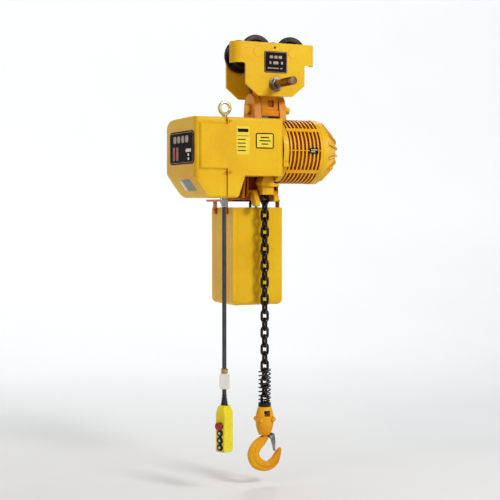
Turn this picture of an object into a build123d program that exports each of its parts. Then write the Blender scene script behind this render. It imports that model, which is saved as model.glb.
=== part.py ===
from build123d import *
import os
from math import atan2, cos, degrees, pi, radians, sin, sqrt, tan

# Electric chain hoist hung from a push trolley. Millimetres, +Z up.
# +X runs along the beam towards the motor, +Y to the back. The origin is on the load line,
# at the height of the beam flange's rolling surface.

os.makedirs("parts", exist_ok=True)

# --- driving dimensions -------------------------------------------------------------------
# trolley
plate_outer_y = 70.0        # outer face of each side plate
plate_t = 8.0
plate_half_w = 91.0
plate_top_z = 63.0
plate_bottom_z = -85.0
arm_half_x = 128.0          # ends of the front plate's bumper arms
arm_bottom_z = 5.0
arm_bend_r = 25.0
arm_end_y = -40.0
wheel_x = 53.5              # axle spacing is twice this
axle_z = 37.0               # equal to the tread's radius, so the beam's flange is at Z = 0
axle_r = 12.0
tread_r = 37.0
flange_r = 47.5
wheel_inner_y = 22.0
wheel_flange_y = 50.0
wheel_outer_y = 60.0
bush_r = 16.0
cross_z = -52.0             # cross shaft that carries the hanger
cross_r = 11.5
cross_front_y = -180.0
cross_rear_y = 92.0
hanger_half_y = 30.0
running_gap = 0.05          # radial clearance of every running fit

# suspension of the hoist below the hanger
pin_z = -118.0
pin_r = 10.0
lug_in_x = 29.0
lug_out_x = 49.0

# hoist body
body_front_y = -95.0
body_back_y = 100.0
body_top_z = -149.0
case_bottom_z = -308.0
hump_bottom_z = -369.0
cover_end_x = -263.0        # back edge of the control cover's end face
cover_near_x = -252.0       # its front edge: the face is set at a slight angle
front_round = 9.0
back_round = 50.0
back_foot_round = 24.0
plan_round = 8.0
case_corner_r = 26.0
case_front_y = -100.0       # the centre housing's front, level with the cover's raised panel
end_round = 14.0
parting_x = -159.0          # joint between the centre housing and the control cover
case_end_x = 17.0
gear_ring_end_x = 33.0
motor_end_x = 141.0
wall = 5.0
eye_x, eye_y, eye_z = -134.0, -20.0, -119.0
end_wall = 2.8              # centre housing's wall behind the spigot
spigot = 5.0                # length of the round spigot that centres the gear ring
shelf_z = -152.0            # underside of the suspension bracket where it crosses the gear ring
shelf_top_z = -146.0
shelf_half_y = 40.0
motor_z = -235.5            # axis of the motor, along X at Y = 0
motor_r = 91.5
motor_core_r = 84.0
inner_r = 78.0

# gear train, all axes along X
module_1, teeth_1_pinion, teeth_1_gear = 1.1, 10, 60
module_2, teeth_2_pinion, teeth_2_gear = 1.5, 11, 49
addendum = 0.9              # in modules, a little under 1 to keep the meshes free
chain_wire_r = 4.0
chain_pitch = 24.0
chain_half_w = 13.35
pockets = 5

# chain, hook and pendant
chain_top_z = -262.0
spring_top_z = -857.0
spring_bottom_z = -955.0
block_top_z = -966.0
block_bottom_z = -1047.0
gland_x, gland_y = -144.0, -40.0
cable_r = 6.0
cable_pivot_z = -390.0
pendant_top_z = -946.0
pendant_bottom_z = -1077.0
pendant_w = 36.0
pendant_half_d = 20.0
pendant_normal = Vector(-0.8746, -0.4848, 0)

# --- worked out from the driving dimensions -----------------------------------------------
half_pocket = pi / 2 / pockets
sheave_r = sqrt((chain_pitch / sin(half_pocket)) ** 2 + (2 * chain_wire_r / cos(half_pocket)) ** 2) / 2
sheave_y = sheave_r
centre_1 = module_1 * (teeth_1_pinion + teeth_1_gear) / 2
centre_2 = module_2 * (teeth_2_pinion + teeth_2_gear) / 2
# the intermediate axis lies at both centre distances, above the line of the other two
mid_y = (centre_1**2 - centre_2**2 + sheave_y**2) / (2 * sheave_y)
mid_z = motor_z + sqrt(centre_1**2 - mid_y**2)
print("sheave pitch radius", round(sheave_r, 4), "intermediate axis", round(mid_y, 3), round(mid_z, 3))


def save(piece, name):
    """Label one finished piece and write it as parts/NAME.step."""
    piece.label = name
    export_step(piece, f"parts/{name}.step")


def along_x(x, y, z):
    """A sketch plane that faces +X, with its own x to +Y and its own y to +Z."""
    return Plane(origin=(x, y, z), x_dir=(0, 1, 0), z_dir=(1, 0, 0))


def along_y(x, y, z):
    """A sketch plane that faces +Y, with its own x to -X and its own y to +Z."""
    return Plane(origin=(x, y, z), x_dir=(-1, 0, 0), z_dir=(0, 1, 0))


def rod_x(x0, x1, y, z, r, mode=Mode.ADD):
    """A round bar along X."""
    with BuildSketch(along_x(x0, y, z)) as disc:
        Circle(r)
    extrude(disc.sketch, amount=x1 - x0, mode=mode)


def rod_y(y0, y1, x, z, r, mode=Mode.ADD):
    """A round bar along Y."""
    with BuildSketch(along_y(x, y0, z)) as disc:
        Circle(r)
    extrude(disc.sketch, amount=y1 - y0, mode=mode)


def rod_z(z0, z1, x, y, r, mode=Mode.ADD):
    """A round bar along Z."""
    with BuildSketch(Plane.XY.offset(z0)) as disc:
        with Locations((x, y)):
            Circle(r)
    extrude(disc.sketch, amount=z1 - z0, mode=mode)


def box(x0, x1, y0, y1, z0, z1, mode=Mode.ADD):
    """A block between two corners."""
    with Locations(((x0 + x1) / 2, (y0 + y1) / 2, (z0 + z1) / 2)):
        Box(x1 - x0, y1 - y0, z1 - z0, mode=mode)


def slab_xz(points, y0, y1, mode=Mode.ADD):
    """An outline drawn in X and Z, given thickness from y0 to y1."""
    with BuildSketch(Plane(origin=(0, y0, 0), x_dir=(1, 0, 0), z_dir=(0, -1, 0))) as outline:
        Polygon(*points, align=None)
    extrude(outline.sketch, amount=y0 - y1, mode=mode)


def slab_yz(points, x0, x1, mode=Mode.ADD):
    """An outline drawn in Y and Z, given thickness from x0 to x1."""
    with BuildSketch(Plane.YZ.offset(x0)) as outline:
        Polygon(*points, align=None)
    extrude(outline.sketch, amount=x1 - x0, mode=mode)


# --- trolley ------------------------------------------------------------------------------
lower_body = [
    (-plate_half_w, plate_top_z), (plate_half_w, plate_top_z), (plate_half_w, -53),
    (52, plate_bottom_z), (-52, plate_bottom_z), (-plate_half_w, -53),
]


def plate_holes(outer_y, inner_y):
    """Bores for the two axles and the cross shaft."""
    for x in (-wheel_x, wheel_x):
        rod_y(inner_y, outer_y, x, axle_z, axle_r, Mode.SUBTRACT)
    rod_y(inner_y, outer_y, 0, cross_z, cross_r, Mode.SUBTRACT)


with BuildPart() as trolley_front_plate:
    slab_xz(lower_body, -plate_outer_y, -plate_outer_y + plate_t)
    # bumper arms: one bent strip across the plate's top, both ends turned back
    bend_x = arm_half_x - arm_bend_r
    with BuildSketch(Plane.XY.offset(arm_bottom_z)):
        with BuildLine():
            outer_bend = arm_bend_r
            inner_bend = arm_bend_r - plate_t
            centre_y = -plate_outer_y + arm_bend_r
            Line((-bend_x, -plate_outer_y), (bend_x, -plate_outer_y))
            CenterArc((bend_x, centre_y), outer_bend, -90, 90)
            Line((arm_half_x, centre_y), (arm_half_x, arm_end_y))
            Line((arm_half_x, arm_end_y), (arm_half_x - plate_t, arm_end_y))
            Line((arm_half_x - plate_t, arm_end_y), (arm_half_x - plate_t, centre_y))
            CenterArc((bend_x, centre_y), inner_bend, 0, -90)
            Line((bend_x, -plate_outer_y + plate_t), (-bend_x, -plate_outer_y + plate_t))
            CenterArc((-bend_x, centre_y), inner_bend, -90, -90)
            Line((plate_t - arm_half_x, centre_y), (plate_t - arm_half_x, arm_end_y))
            Line((plate_t - arm_half_x, arm_end_y), (-arm_half_x, arm_end_y))
            Line((-arm_half_x, arm_end_y), (-arm_half_x, centre_y))
            CenterArc((-bend_x, centre_y), outer_bend, 180, 90)
        make_face()
    extrude(amount=plate_top_z - arm_bottom_z)
    # inside corners under the arms, then the lower corners of the plate
    notch = [
        e for e in trolley_front_plate.edges().filter_by(Axis.Y)
        if abs(e.center().Z - arm_bottom_z) < 0.1 and abs(abs(e.center().X) - plate_half_w) < 0.1
    ]
    fillet(notch, radius=6)
    low = [e for e in trolley_front_plate.edges().filter_by(Axis.Y) if e.center().Z < -50]
    fillet(low, radius=6)
    plate_holes(-plate_outer_y, -plate_outer_y + plate_t)
    rod_y(-plate_outer_y, -plate_outer_y + plate_t, -2, 50, 3.5, Mode.SUBTRACT)
save(trolley_front_plate.part, "trolley_front_plate")

with BuildPart() as trolley_rear_plate:
    slab_xz(lower_body, plate_outer_y - plate_t, plate_outer_y)
    fillet(trolley_rear_plate.edges().filter_by(Axis.Y), radius=6)
    plate_holes(plate_outer_y, plate_outer_y - plate_t)
save(trolley_rear_plate.part, "trolley_rear_plate")

with BuildPart() as trolley_rating_plate:
    box(-35, 35, -plate_outer_y - 1.2, -plate_outer_y, -20, 39)
    fillet(trolley_rating_plate.edges().filter_by(Axis.Y), radius=4)
    for x in (-30, 30):
        for z in (-15.5, 34.5):
            rod_y(-plate_outer_y - 2.2, -plate_outer_y - 1.2, x, z, 1.8)
save(trolley_rating_plate.part, "trolley_rating_plate")


def wheel_profile(side):
    """Half section of a wheel, radius across and Y up, on the side given as -1 or 1."""
    return [
        (bush_r, side * wheel_inner_y), (tread_r - 2, side * wheel_inner_y),
        (tread_r, side * (wheel_inner_y + 2)), (tread_r, side * wheel_flange_y),
        (flange_r - 2, side * (wheel_flange_y + 1)), (flange_r, side * (wheel_flange_y + 3)),
        (flange_r, side * (wheel_outer_y - 2)), (flange_r - 2, side * wheel_outer_y),
        (flange_r - 14, side * wheel_outer_y), (flange_r - 16, side * (wheel_outer_y - 4)),
        (bush_r + 6, side * (wheel_outer_y - 4)), (bush_r + 5, side * wheel_outer_y),
        (bush_r, side * wheel_outer_y),
    ]


wheel_places = {
    "wheel_front_left": (-1, -wheel_x), "wheel_front_right": (-1, wheel_x),
    "wheel_rear_left": (1, -wheel_x), "wheel_rear_right": (1, wheel_x),
}
for wheel_name, (side, x) in wheel_places.items():
    wheel_plane = Plane(origin=(x, 0, axle_z), x_dir=(1, 0, 0), z_dir=(0, 0, 1))
    with BuildPart() as wheel:
        with BuildSketch(wheel_plane):
            Polygon(*wheel_profile(side), align=None)
        revolve(axis=Axis((x, 0, axle_z), (0, 1, 0)))
    save(wheel.part, wheel_name)

with BuildPart() as wheel_bushes:
    for side, x in wheel_places.values():
        rod_y(side * (wheel_inner_y - 0.5), side * (plate_outer_y - plate_t), x, axle_z, bush_r - running_gap)
        rod_y(side * (wheel_inner_y - 0.5), side * (plate_outer_y - plate_t), x, axle_z, axle_r, Mode.SUBTRACT)
save(wheel_bushes.part, "wheel_bushes")

with BuildPart() as wheel_axles:
    for side, x in wheel_places.values():
        rod_y(side * (wheel_inner_y - 4.5), side * (wheel_inner_y - 0.5), x, axle_z, axle_r + 3)
        rod_y(side * (wheel_inner_y - 0.5), side * plate_outer_y, x, axle_z, axle_r)
        rod_y(side * plate_outer_y, side * (plate_outer_y + 1.2), x, axle_z, axle_r + 3)
    rims = [e for e in wheel_axles.edges().filter_by(GeomType.CIRCLE) if abs(e.center().Y) > plate_outer_y + 1]
    chamfer(rims, length=0.8)
save(wheel_axles.part, "wheel_axles")

with BuildPart() as cross_shaft:
    rod_y(cross_front_y, cross_rear_y, 0, cross_z, cross_r)
    # a shallow groove behind the machined front end
    with BuildSketch(along_y(0, cross_front_y + 16, cross_z)):
        Circle(cross_r + 1)
        Circle(cross_r - 1, mode=Mode.SUBTRACT)
    extrude(amount=3, mode=Mode.SUBTRACT)
    rims = cross_shaft.edges().filter_by(GeomType.CIRCLE).sort_by(Axis.Y)
    chamfer([rims[0], rims[-1]], length=1.5)
save(cross_shaft.part, "cross_shaft")

with BuildPart() as cross_shaft_nuts:
    for side in (-1, 1):
        y = side * plate_outer_y
        rod_y(y, y + side * 4, 0, cross_z, 20)
        with BuildSketch(along_y(0, y + side * 4, cross_z)):
            RegularPolygon(radius=18.5, side_count=6)
        extrude(amount=side * 12)
        rod_y(y, y + side * 16, 0, cross_z, cross_r, Mode.SUBTRACT)
save(cross_shaft_nuts.part, "cross_shaft_nuts")

washer_count = 6
washer_pitch = (plate_outer_y - plate_t - hanger_half_y - 1.0) / washer_count
with BuildPart() as cross_shaft_washers:
    for side in (-1, 1):
        for step in range(washer_count):
            y = side * (plate_outer_y - plate_t - step * washer_pitch)
            rod_y(y, y - side * (washer_pitch - 0.2), 0, cross_z, 18)
            rod_y(y, y - side * (washer_pitch - 0.2), 0, cross_z, cross_r, Mode.SUBTRACT)
save(cross_shaft_washers.part, "cross_shaft_washers")

# --- hanger between trolley and hoist -----------------------------------------------------
with BuildPart() as hanger_block:
    rod_y(-hanger_half_y, hanger_half_y, 0, cross_z, 23)
    slab_xz([(-23, cross_z), (23, cross_z), (28, -100), (28, -138), (-28, -138), (-28, -100)],
            -hanger_half_y, hanger_half_y)
    # bottom flange band, standing out front and back
    box(-28, 28, -hanger_half_y - 6, hanger_half_y + 6, -138, -122)
    # relief cut in the front and back faces above the band
    for side in (-1, 1):
        box(-4, 14, min(side * 22, side * 31), max(side * 22, side * 31), -112, -92, Mode.SUBTRACT)
    rod_y(-hanger_half_y, hanger_half_y, 0, cross_z, cross_r + running_gap, Mode.SUBTRACT)
    rod_x(-28, 28, 0, pin_z, pin_r + running_gap, Mode.SUBTRACT)
save(hanger_block.part, "hanger_block")

with BuildPart() as suspension_pin:
    rod_x(-58, -lug_out_x, 0, pin_z, 15)
    rod_x(-lug_out_x, 76, 0, pin_z, pin_r)
    fillet(suspension_pin.edges().filter_by(GeomType.CIRCLE).sort_by(Axis.X)[0], radius=3)
    chamfer(suspension_pin.edges().filter_by(GeomType.CIRCLE).sort_by(Axis.X)[-1], length=1.5)
save(suspension_pin.part, "suspension_pin")

with BuildPart() as suspension_pin_nut:
    rod_x(lug_out_x, lug_out_x + 3, 0, pin_z, 17)
    with BuildSketch(along_x(lug_out_x + 3, 0, pin_z)):
        RegularPolygon(radius=16, side_count=6)
    extrude(amount=13)
    rod_x(lug_out_x, lug_out_x + 16, 0, pin_z, pin_r, Mode.SUBTRACT)
save(suspension_pin_nut.part, "suspension_pin_nut")

# --- hoist housings -----------------------------------------------------------------------


def rounded_polygon(plane, points, rounds):
    """A polygon sketch on a plane, with some corners rounded: rounds holds (corner, radius)."""
    with BuildSketch(plane) as shape:
        Polygon(*points, align=None)
        for (x, y), radius in rounds:
            fillet(shape.vertices().sort_by_distance((x, y, 0))[0], radius=radius)
    return shape.sketch


def body_block(side, side_rounds, plan, plan_rounds, front_y, inset):
    """A stretch of the hoist's body: what its side view, its plan and its cross section have in common."""
    front, back = front_y + inset, body_back_y - inset
    top, bottom = body_top_z - inset, hump_bottom_z + inset
    section = [(front, bottom), (back, bottom), (back, top), (front, top)]
    section_rounds = [((y, z), front_round - inset) for y, z in section if y == front]
    section_rounds += [((back, bottom), back_foot_round - inset), ((back, top), back_round - inset)]
    facing_front = Plane(origin=(0, back, 0), x_dir=(1, 0, 0), z_dir=(0, -1, 0))
    with BuildPart(mode=Mode.PRIVATE) as block:
        extrude(rounded_polygon(facing_front, side, side_rounds), amount=back - front)
        extrude(rounded_polygon(Plane.YZ.offset(-300), section, section_rounds), amount=400, mode=Mode.INTERSECT)
        extrude(rounded_polygon(Plane.XY.offset(-400), plan, plan_rounds), amount=300, mode=Mode.INTERSECT)
    return block.part


def case_block(inset, right_x):
    """The centre housing's outside, moved inwards by inset, up to right_x."""
    top, bottom, hump = body_top_z - inset, case_bottom_z + inset, hump_bottom_z + inset
    side = [(parting_x, top), (right_x, top), (right_x, bottom), (-107 - inset, bottom),
            (-128 - inset * 0.7, hump), (parting_x, hump)]
    front, back = case_front_y + inset, body_back_y - inset
    plan = [(parting_x, front), (right_x, front), (right_x, back), (parting_x, back)]
    corner_r = case_corner_r - inset
    return body_block(side, [((right_x, top), plan_round - inset)], plan,
                      [((right_x, front), corner_r), ((right_x, back), corner_r)], case_front_y, inset)


with BuildPart() as centre_housing:
    add(case_block(0, case_end_x))
    # two rooms inside: the electrical room, open to the cover, and the sheave room
    add(case_block(wall, -32), mode=Mode.SUBTRACT)
    slab_yz([(-60, case_bottom_z + wall), (95, case_bottom_z + wall), (95, -201), (72, -175), (50, -160), (-60, -157)],
            -26, case_end_x - end_wall, Mode.SUBTRACT)
    # spigot that centres the gear ring
    rod_x(case_end_x, case_end_x + spigot, 0, motor_z, inner_r - 0.2)
    # chain openings in the floor
    rod_z(case_bottom_z - 1, case_bottom_z + wall + 1, 0, 0, 17, Mode.SUBTRACT)
    rod_z(case_bottom_z - 1, case_bottom_z + wall + 1, 0, 2 * sheave_y, 17, Mode.SUBTRACT)
    # bearing seats: sheave shaft in both walls, intermediate shaft in the spigot
    rod_x(-32, -26, sheave_y, motor_z, 15, Mode.SUBTRACT)
    rod_x(case_end_x - end_wall, case_end_x + spigot, sheave_y, motor_z, 15, Mode.SUBTRACT)
    rod_x(case_end_x - 2, case_end_x + spigot, mid_y, mid_z, 9, Mode.SUBTRACT)
    # seat for the eye bolt
    rod_z(body_top_z - wall - 8, body_top_z - wall + 0.5, eye_x, eye_y, 11)
    rod_z(body_top_z - wall - 8, body_top_z, eye_x, eye_y, 6, Mode.SUBTRACT)
save(centre_housing.part, "centre_housing")

with BuildPart() as suspension_bracket:
    # foot on the housing's top, stepped down over the gear ring, with a lug at each side of the hanger
    box(-lug_out_x, case_end_x, -shelf_half_y, shelf_half_y, body_top_z, shelf_top_z)
    box(case_end_x, lug_out_x, -shelf_half_y, shelf_half_y, shelf_z, shelf_top_z)
    for side in (-1, 1):
        x0, x1 = sorted((side * lug_in_x, side * lug_out_x))
        rod_x(x0, x1, 0, -109, 34)
        slab_yz([(-shelf_half_y, shelf_top_z - 1), (shelf_half_y, shelf_top_z - 1), (33.6, -104), (-33.6, -104)],
                x0, x1)
        rod_x(x0, x1, 0, pin_z, pin_r, Mode.SUBTRACT)
save(suspension_bracket.part, "suspension_bracket")


def lug_recess():
    """Room on top of the gear ring and the motor for the shelf and the right-hand lug."""
    box(case_end_x - 1, lug_out_x + 3, -shelf_half_y - 2, shelf_half_y + 2, shelf_z - 0.2, -130, Mode.SUBTRACT)


with BuildPart() as gear_housing:
    rod_x(case_end_x, gear_ring_end_x, 0, motor_z, motor_r - 1.5)
    # boss and web on the lower front corner
    box(case_end_x, gear_ring_end_x, -86, -58, motor_z - 46, motor_z - 34)
    slab_xz([(case_end_x, motor_z - 34), (gear_ring_end_x, motor_z - 34), (case_end_x, motor_z - 4)], -84, -78)
    rod_x(case_end_x, gear_ring_end_x, 0, motor_z, inner_r, Mode.SUBTRACT)
    lug_recess()
save(gear_housing.part, "gear_housing")

fin_count, fin_pitch, fin_t = 8, 12.2, 4.4
with BuildPart() as motor_housing:
    rod_x(gear_ring_end_x, motor_end_x, 0, motor_z, motor_core_r)
    for n in range(fin_count):
        x = gear_ring_end_x + 4 + n * fin_pitch
        rod_x(x, x + fin_t, 0, motor_z, motor_r)
    # end rim, foundry pads along the barrel, and the parting ridge at mid height
    rod_x(motor_end_x - 8, motor_end_x, 0, motor_z, motor_r + 0.5)
    for angle in (40, 140, 220, 320):
        with BuildSketch(along_x(gear_ring_end_x, 0, motor_z)):
            with PolarLocations(motor_core_r + 3, 1, start_angle=angle):
                Rectangle(9.5, 11)
        extrude(amount=motor_end_x - gear_ring_end_x)
    for side in (-1, 1):
        y0, y1 = sorted((side * (motor_core_r - 3), side * (motor_r + 0.3)))
        box(gear_ring_end_x, motor_end_x, y0, y1, motor_z - 1.2, motor_z + 1.2)
    # gear room, then the bearing wall, then the stator bore
    rod_x(gear_ring_end_x, 60, 0, motor_z, inner_r, Mode.SUBTRACT)
    rod_x(68, motor_end_x, 0, motor_z, 72, Mode.SUBTRACT)
    rod_x(60, 68, 0, motor_z, 14, Mode.SUBTRACT)
    rod_x(60, 66, mid_y, mid_z, 9, Mode.SUBTRACT)
    lug_recess()
save(motor_housing.part, "motor_housing")

rib_count = 14
cover_screw_r = 84.0
cover_screw_angles = (40, 140, 220, 320)
with BuildPart() as motor_end_cover:
    with BuildSketch(Plane(origin=(0, 0, motor_z), x_dir=(1, 0, 0), z_dir=(0, 0, 1))):
        with BuildLine():
            Polyline((motor_end_x, 0), (motor_end_x, 92.5), (157, 92.5), (162, 87), (203, 50), (209, 38), (211, 0),
                     close=True)
        make_face()
    revolve(axis=Axis((0, 0, motor_z), (1, 0, 0)))
    # radial ribs on the cone
    for n in range(rib_count):
        with BuildSketch(Plane(origin=(0, 0, motor_z), x_dir=(1, 0, 0),
                               z_dir=(0, cos(radians(n * 360 / rib_count)), sin(radians(n * 360 / rib_count))))):
            Polygon((158, 80), (158, 92.5), (164, 91.5), (207, 54), (213, 42), (213, 18), (200, 18), (190, 50),
                    align=None)
        extrude(amount=2.2, both=True)
    # hollow inside
    with BuildSketch(Plane(origin=(0, 0, motor_z), x_dir=(1, 0, 0), z_dir=(0, 0, 1))):
        Polygon((motor_end_x, 0), (motor_end_x, 72), (154, 72), (160, 76), (196, 45), (202, 34), (204, 0), align=None)
    revolve(axis=Axis((0, 0, motor_z), (1, 0, 0)), mode=Mode.SUBTRACT)
    # pockets for the screws in the rim
    for angle in cover_screw_angles:
        y, z = cover_screw_r * cos(radians(angle)), motor_z + cover_screw_r * sin(radians(angle))
        rod_x(152, 176, y, z, 6, Mode.SUBTRACT)
save(motor_end_cover.part, "motor_end_cover")


def cover_block(inset):
    """The control cover's outside, moved inwards by inset except at its open side."""
    end, near = cover_end_x + inset, cover_near_x + inset
    front, back = body_front_y + inset, body_back_y - inset
    top, bottom = body_top_z - inset, hump_bottom_z + inset
    slant_top, slant_foot = (end, -299 + inset * 0.4), (-213 + inset * 0.5, bottom)
    side = [(parting_x, top), (end, top), slant_top, slant_foot, (parting_x, bottom)]
    plan = [(parting_x, front), (near, front), (end, back), (parting_x, back)]
    side_rounds = [((end, top), end_round - inset), (slant_top, end_round - inset), (slant_foot, end_round - inset)]
    return body_block(side, side_rounds, plan,
                      [((near, front), end_round - inset), ((end, back), plan_round - inset)], body_front_y, inset)


panel_y = case_front_y
cover_t = 4.0
with BuildPart() as control_cover:
    add(cover_block(0))
    add(cover_block(cover_t), mode=Mode.SUBTRACT)
    # raised panel on the front
    slab_xz([(-241, -166), (parting_x, -166), (parting_x, -292), (-241, -292)], panel_y, body_front_y + 1)
    panel_rim = [e for e in control_cover.edges() if abs(e.center().Y - panel_y) < 0.01 and e.center().X < parting_x - 1]
    chamfer(panel_rim, length=4.2)
    # notches at its right corners, where the screws sit
    for z, up in ((-166, 1), (-292, -1)):
        slab_xz([(-175, z + up * 14), (parting_x, z + up * 2), (parting_x, z + up * 14)],
                panel_y - 1, body_front_y + 2, Mode.SUBTRACT)
save(control_cover.part, "control_cover")

end_tilt = atan2(cover_near_x - cover_end_x, body_back_y - body_front_y)
with BuildPart() as end_nameplate:
    # on the slanting end face, a little nearer its front edge
    outward = Vector(-cos(end_tilt), -sin(end_tilt), 0)
    plate_y = -8.0
    plate_x = cover_near_x - (plate_y - body_front_y) * tan(end_tilt)
    with BuildSketch(Plane(origin=(plate_x, plate_y, -232), x_dir=(sin(end_tilt), -cos(end_tilt), 0), z_dir=outward)):
        RectangleRounded(158, 91, 13)
    extrude(amount=1.5)
save(end_nameplate.part, "end_nameplate")

# --- machinery inside ---------------------------------------------------------------------


def gear_tooth_points(module, teeth, phase, tooth_share):
    """Outline of a spur gear with straight-flanked teeth, first tooth at the phase angle in degrees."""
    pitch_r = module * teeth / 2
    tip_r, root_r = pitch_r + addendum * module, pitch_r - 1.25 * module
    pitch_angle = 360 / teeth
    points = []
    for n in range(teeth):
        middle = phase + n * pitch_angle
        for r, half_share in ((root_r, 0.5 * tooth_share + 0.16), (tip_r, 0.5 * tooth_share - 0.10),
                              (tip_r, 0.10 - 0.5 * tooth_share), (root_r, -0.5 * tooth_share - 0.16)):
            angle = radians(middle - half_share * pitch_angle)
            points.append((r * cos(angle), r * sin(angle)))
    return points


def gear(x0, x1, y, z, module, teeth, phase, tooth_share):
    """A spur gear along X."""
    with BuildSketch(along_x(x0, y, z)) as teeth_outline:
        Polygon(*gear_tooth_points(module, teeth, phase, tooth_share), align=None)
    extrude(teeth_outline.sketch, amount=x1 - x0)


# where each mesh lies, as an angle in the Y-Z plane seen from +X
line_1 = degrees(atan2(mid_z - motor_z, mid_y))
line_2 = degrees(atan2(motor_z - mid_z, sheave_y - mid_y))
tooth_share = 0.40

with BuildPart() as rotor:
    rod_x(43, 57, 0, motor_z, 3.6)
    gear(43.5, 57, 0, motor_z, module_1, teeth_1_pinion, line_1, tooth_share)
    rod_x(57, 60.2, 0, motor_z, 5)
    rod_x(60.2, 140.5, 0, motor_z, 6.5)
    rod_x(140.5, 182, 0, motor_z, 6.5)
    rod_x(74, 122, 0, motor_z, 38)
    rod_x(70, 74, 0, motor_z, 33)
    rod_x(122, 126, 0, motor_z, 33)
save(rotor.part, "rotor")

with BuildPart() as brake_disc:
    rod_x(143, 149, 0, motor_z, 48)
    rod_x(149, 152, 0, motor_z, 14)
    rod_x(143, 152, 0, motor_z, 6.5, Mode.SUBTRACT)
save(brake_disc.part, "brake_disc")

with BuildPart() as stator:
    rod_x(76, 120, 0, motor_z, 72)
    rod_x(69, 76, 0, motor_z, 64)
    rod_x(120, 128, 0, motor_z, 64)
    rod_x(69, 128, 0, motor_z, 38.6, Mode.SUBTRACT)
    rod_x(69, 76, 0, motor_z, 44, Mode.SUBTRACT)
    rod_x(120, 128, 0, motor_z, 44, Mode.SUBTRACT)
save(stator.part, "stator")

with BuildPart() as bearing_shield:
    rod_x(133, motor_end_x, 0, motor_z, 72)
    rod_x(133, motor_end_x, 0, motor_z, 14, Mode.SUBTRACT)
save(bearing_shield.part, "bearing_shield")

with BuildPart() as brake_coil:
    rod_x(150, 170, 0, motor_z, 50)
    rod_x(150, 154, 0, motor_z, 17, Mode.SUBTRACT)
    rod_x(150, 170, 0, motor_z, 9, Mode.SUBTRACT)
    # three spacer posts hold the coil off the bearing shield
    with BuildSketch(along_x(motor_end_x, 0, motor_z)):
        with PolarLocations(54, 3, start_angle=90):
            Circle(5)
    extrude(amount=29)
    with BuildSketch(along_x(162, 0, motor_z)):
        Circle(58)
        Circle(20, mode=Mode.SUBTRACT)
    extrude(amount=8)
save(brake_coil.part, "brake_coil")

with BuildPart() as intermediate_gear:
    rod_x(case_end_x - 1, 66, mid_y, mid_z, 5)
    gear(44, 56, mid_y, mid_z, module_1, teeth_1_gear, line_1 + 180 + 180 / teeth_1_gear, tooth_share)
    gear(23, 40, mid_y, mid_z, module_2, teeth_2_pinion, line_2, tooth_share)
save(intermediate_gear.part, "intermediate_gear")

with BuildPart() as output_gear:
    gear(24, 38, sheave_y, motor_z, module_2, teeth_2_gear, line_2 + 180 + 180 / teeth_2_gear, tooth_share)
    rod_x(24, 38, sheave_y, motor_z, 9, Mode.SUBTRACT)
save(output_gear.part, "output_gear")

pocket_floor_r = sheave_r - chain_wire_r - 1.2
with BuildPart() as load_sheave:
    rod_x(-13.5, 13.5, sheave_y, motor_z, pocket_floor_r)
    # groove for the upright links
    with BuildSketch(along_x(-5, sheave_y, motor_z)):
        Circle(pocket_floor_r + 1)
        Circle(sheave_r - chain_half_w - 1.5, mode=Mode.SUBTRACT)
    extrude(amount=10, mode=Mode.SUBTRACT)
    # shaft, through both bearings to the output gear
    rod_x(-32, 39, sheave_y, motor_z, 9)
save(load_sheave.part, "load_sheave")

with BuildPart() as shaft_bearings:
    for x0, x1, y, z, outer, inner in (
        (60.5, 67.5, 0, motor_z, 14, 6.5), (133.5, 140.5, 0, motor_z, 14, 6.5),
        (case_end_x - 1.5, case_end_x + 4.5, mid_y, mid_z, 9, 5), (60.2, 65.8, mid_y, mid_z, 9, 5),
        (-31.5, -26.5, sheave_y, motor_z, 15, 9), (case_end_x - 2.5, case_end_x + 4.5, sheave_y, motor_z, 15, 9),
    ):
        rod_x(x0, x1, y, z, outer)
        rod_x(x0, x1, y, z, inner + running_gap, Mode.SUBTRACT)
save(shaft_bearings.part, "shaft_bearings")

with BuildPart() as contactors:
    for y in (-78, -28):
        box(-100, -42, y, y + 45, -262, -192)
        box(-96, -46, y + 6, y + 39, -270, -184)
    # terminal strip under the transformer's side
    for n in range(8):
        y = -10 + n * 12
        box(-232, -208, y, y + 11, -300, -268)
save(contactors.part, "contactors")

with BuildPart() as transformer:
    # laminated core with its coil, on two feet
    box(-243, -171, -86, -22, -296, -196)
    box(-233, -181, -88, -18, -280, -212)
    for x in (-200, -184):
        box(x, x + 8, -80, -26, hump_bottom_z + cover_t, -296)
save(transformer.part, "transformer")

# --- fittings on the outside --------------------------------------------------------------
with BuildPart() as eye_bolt:
    eye_outer_r, eye_inner_r, eye_half_t = 20.0, 12.0, 6.0
    with BuildSketch(along_y(eye_x, eye_y - eye_half_t, eye_z)):
        Circle(eye_outer_r)
        Circle(eye_inner_r, mode=Mode.SUBTRACT)
    extrude(amount=2 * eye_half_t)
    rims = eye_bolt.edges().filter_by(GeomType.CIRCLE)
    fillet([e for e in rims if e.radius > eye_inner_r + 1], radius=4)
    rims = eye_bolt.edges().filter_by(GeomType.CIRCLE)
    chamfer([e for e in rims if abs(e.radius - eye_inner_r) < 0.1], length=2.5)
    rod_z(body_top_z - 12, body_top_z, eye_x, eye_y, 6)
    rod_z(body_top_z, body_top_z + 5, eye_x, eye_y, 13)
    rod_z(body_top_z + 5, body_top_z + 13, eye_x, eye_y, 8)
save(eye_bolt.part, "eye_bolt")

with BuildPart() as chain_guide:
    # guide block, then its flange against the housing floor, stepped under the motor
    box(-17, 20, -20, 16, -359, -336)
    fillet(chain_guide.edges().filter_by(Axis.Z), radius=2.5)
    slab_xz([(-14, case_bottom_z), (case_end_x - 1, case_bottom_z), (case_end_x - 1, -328), (34, -328),
             (34, -336), (-16, -336), (-22, -326)], -26, 18)
    rod_z(-360, case_bottom_z, 0, 0, 14.5, Mode.SUBTRACT)
save(chain_guide.part, "chain_guide")

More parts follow.
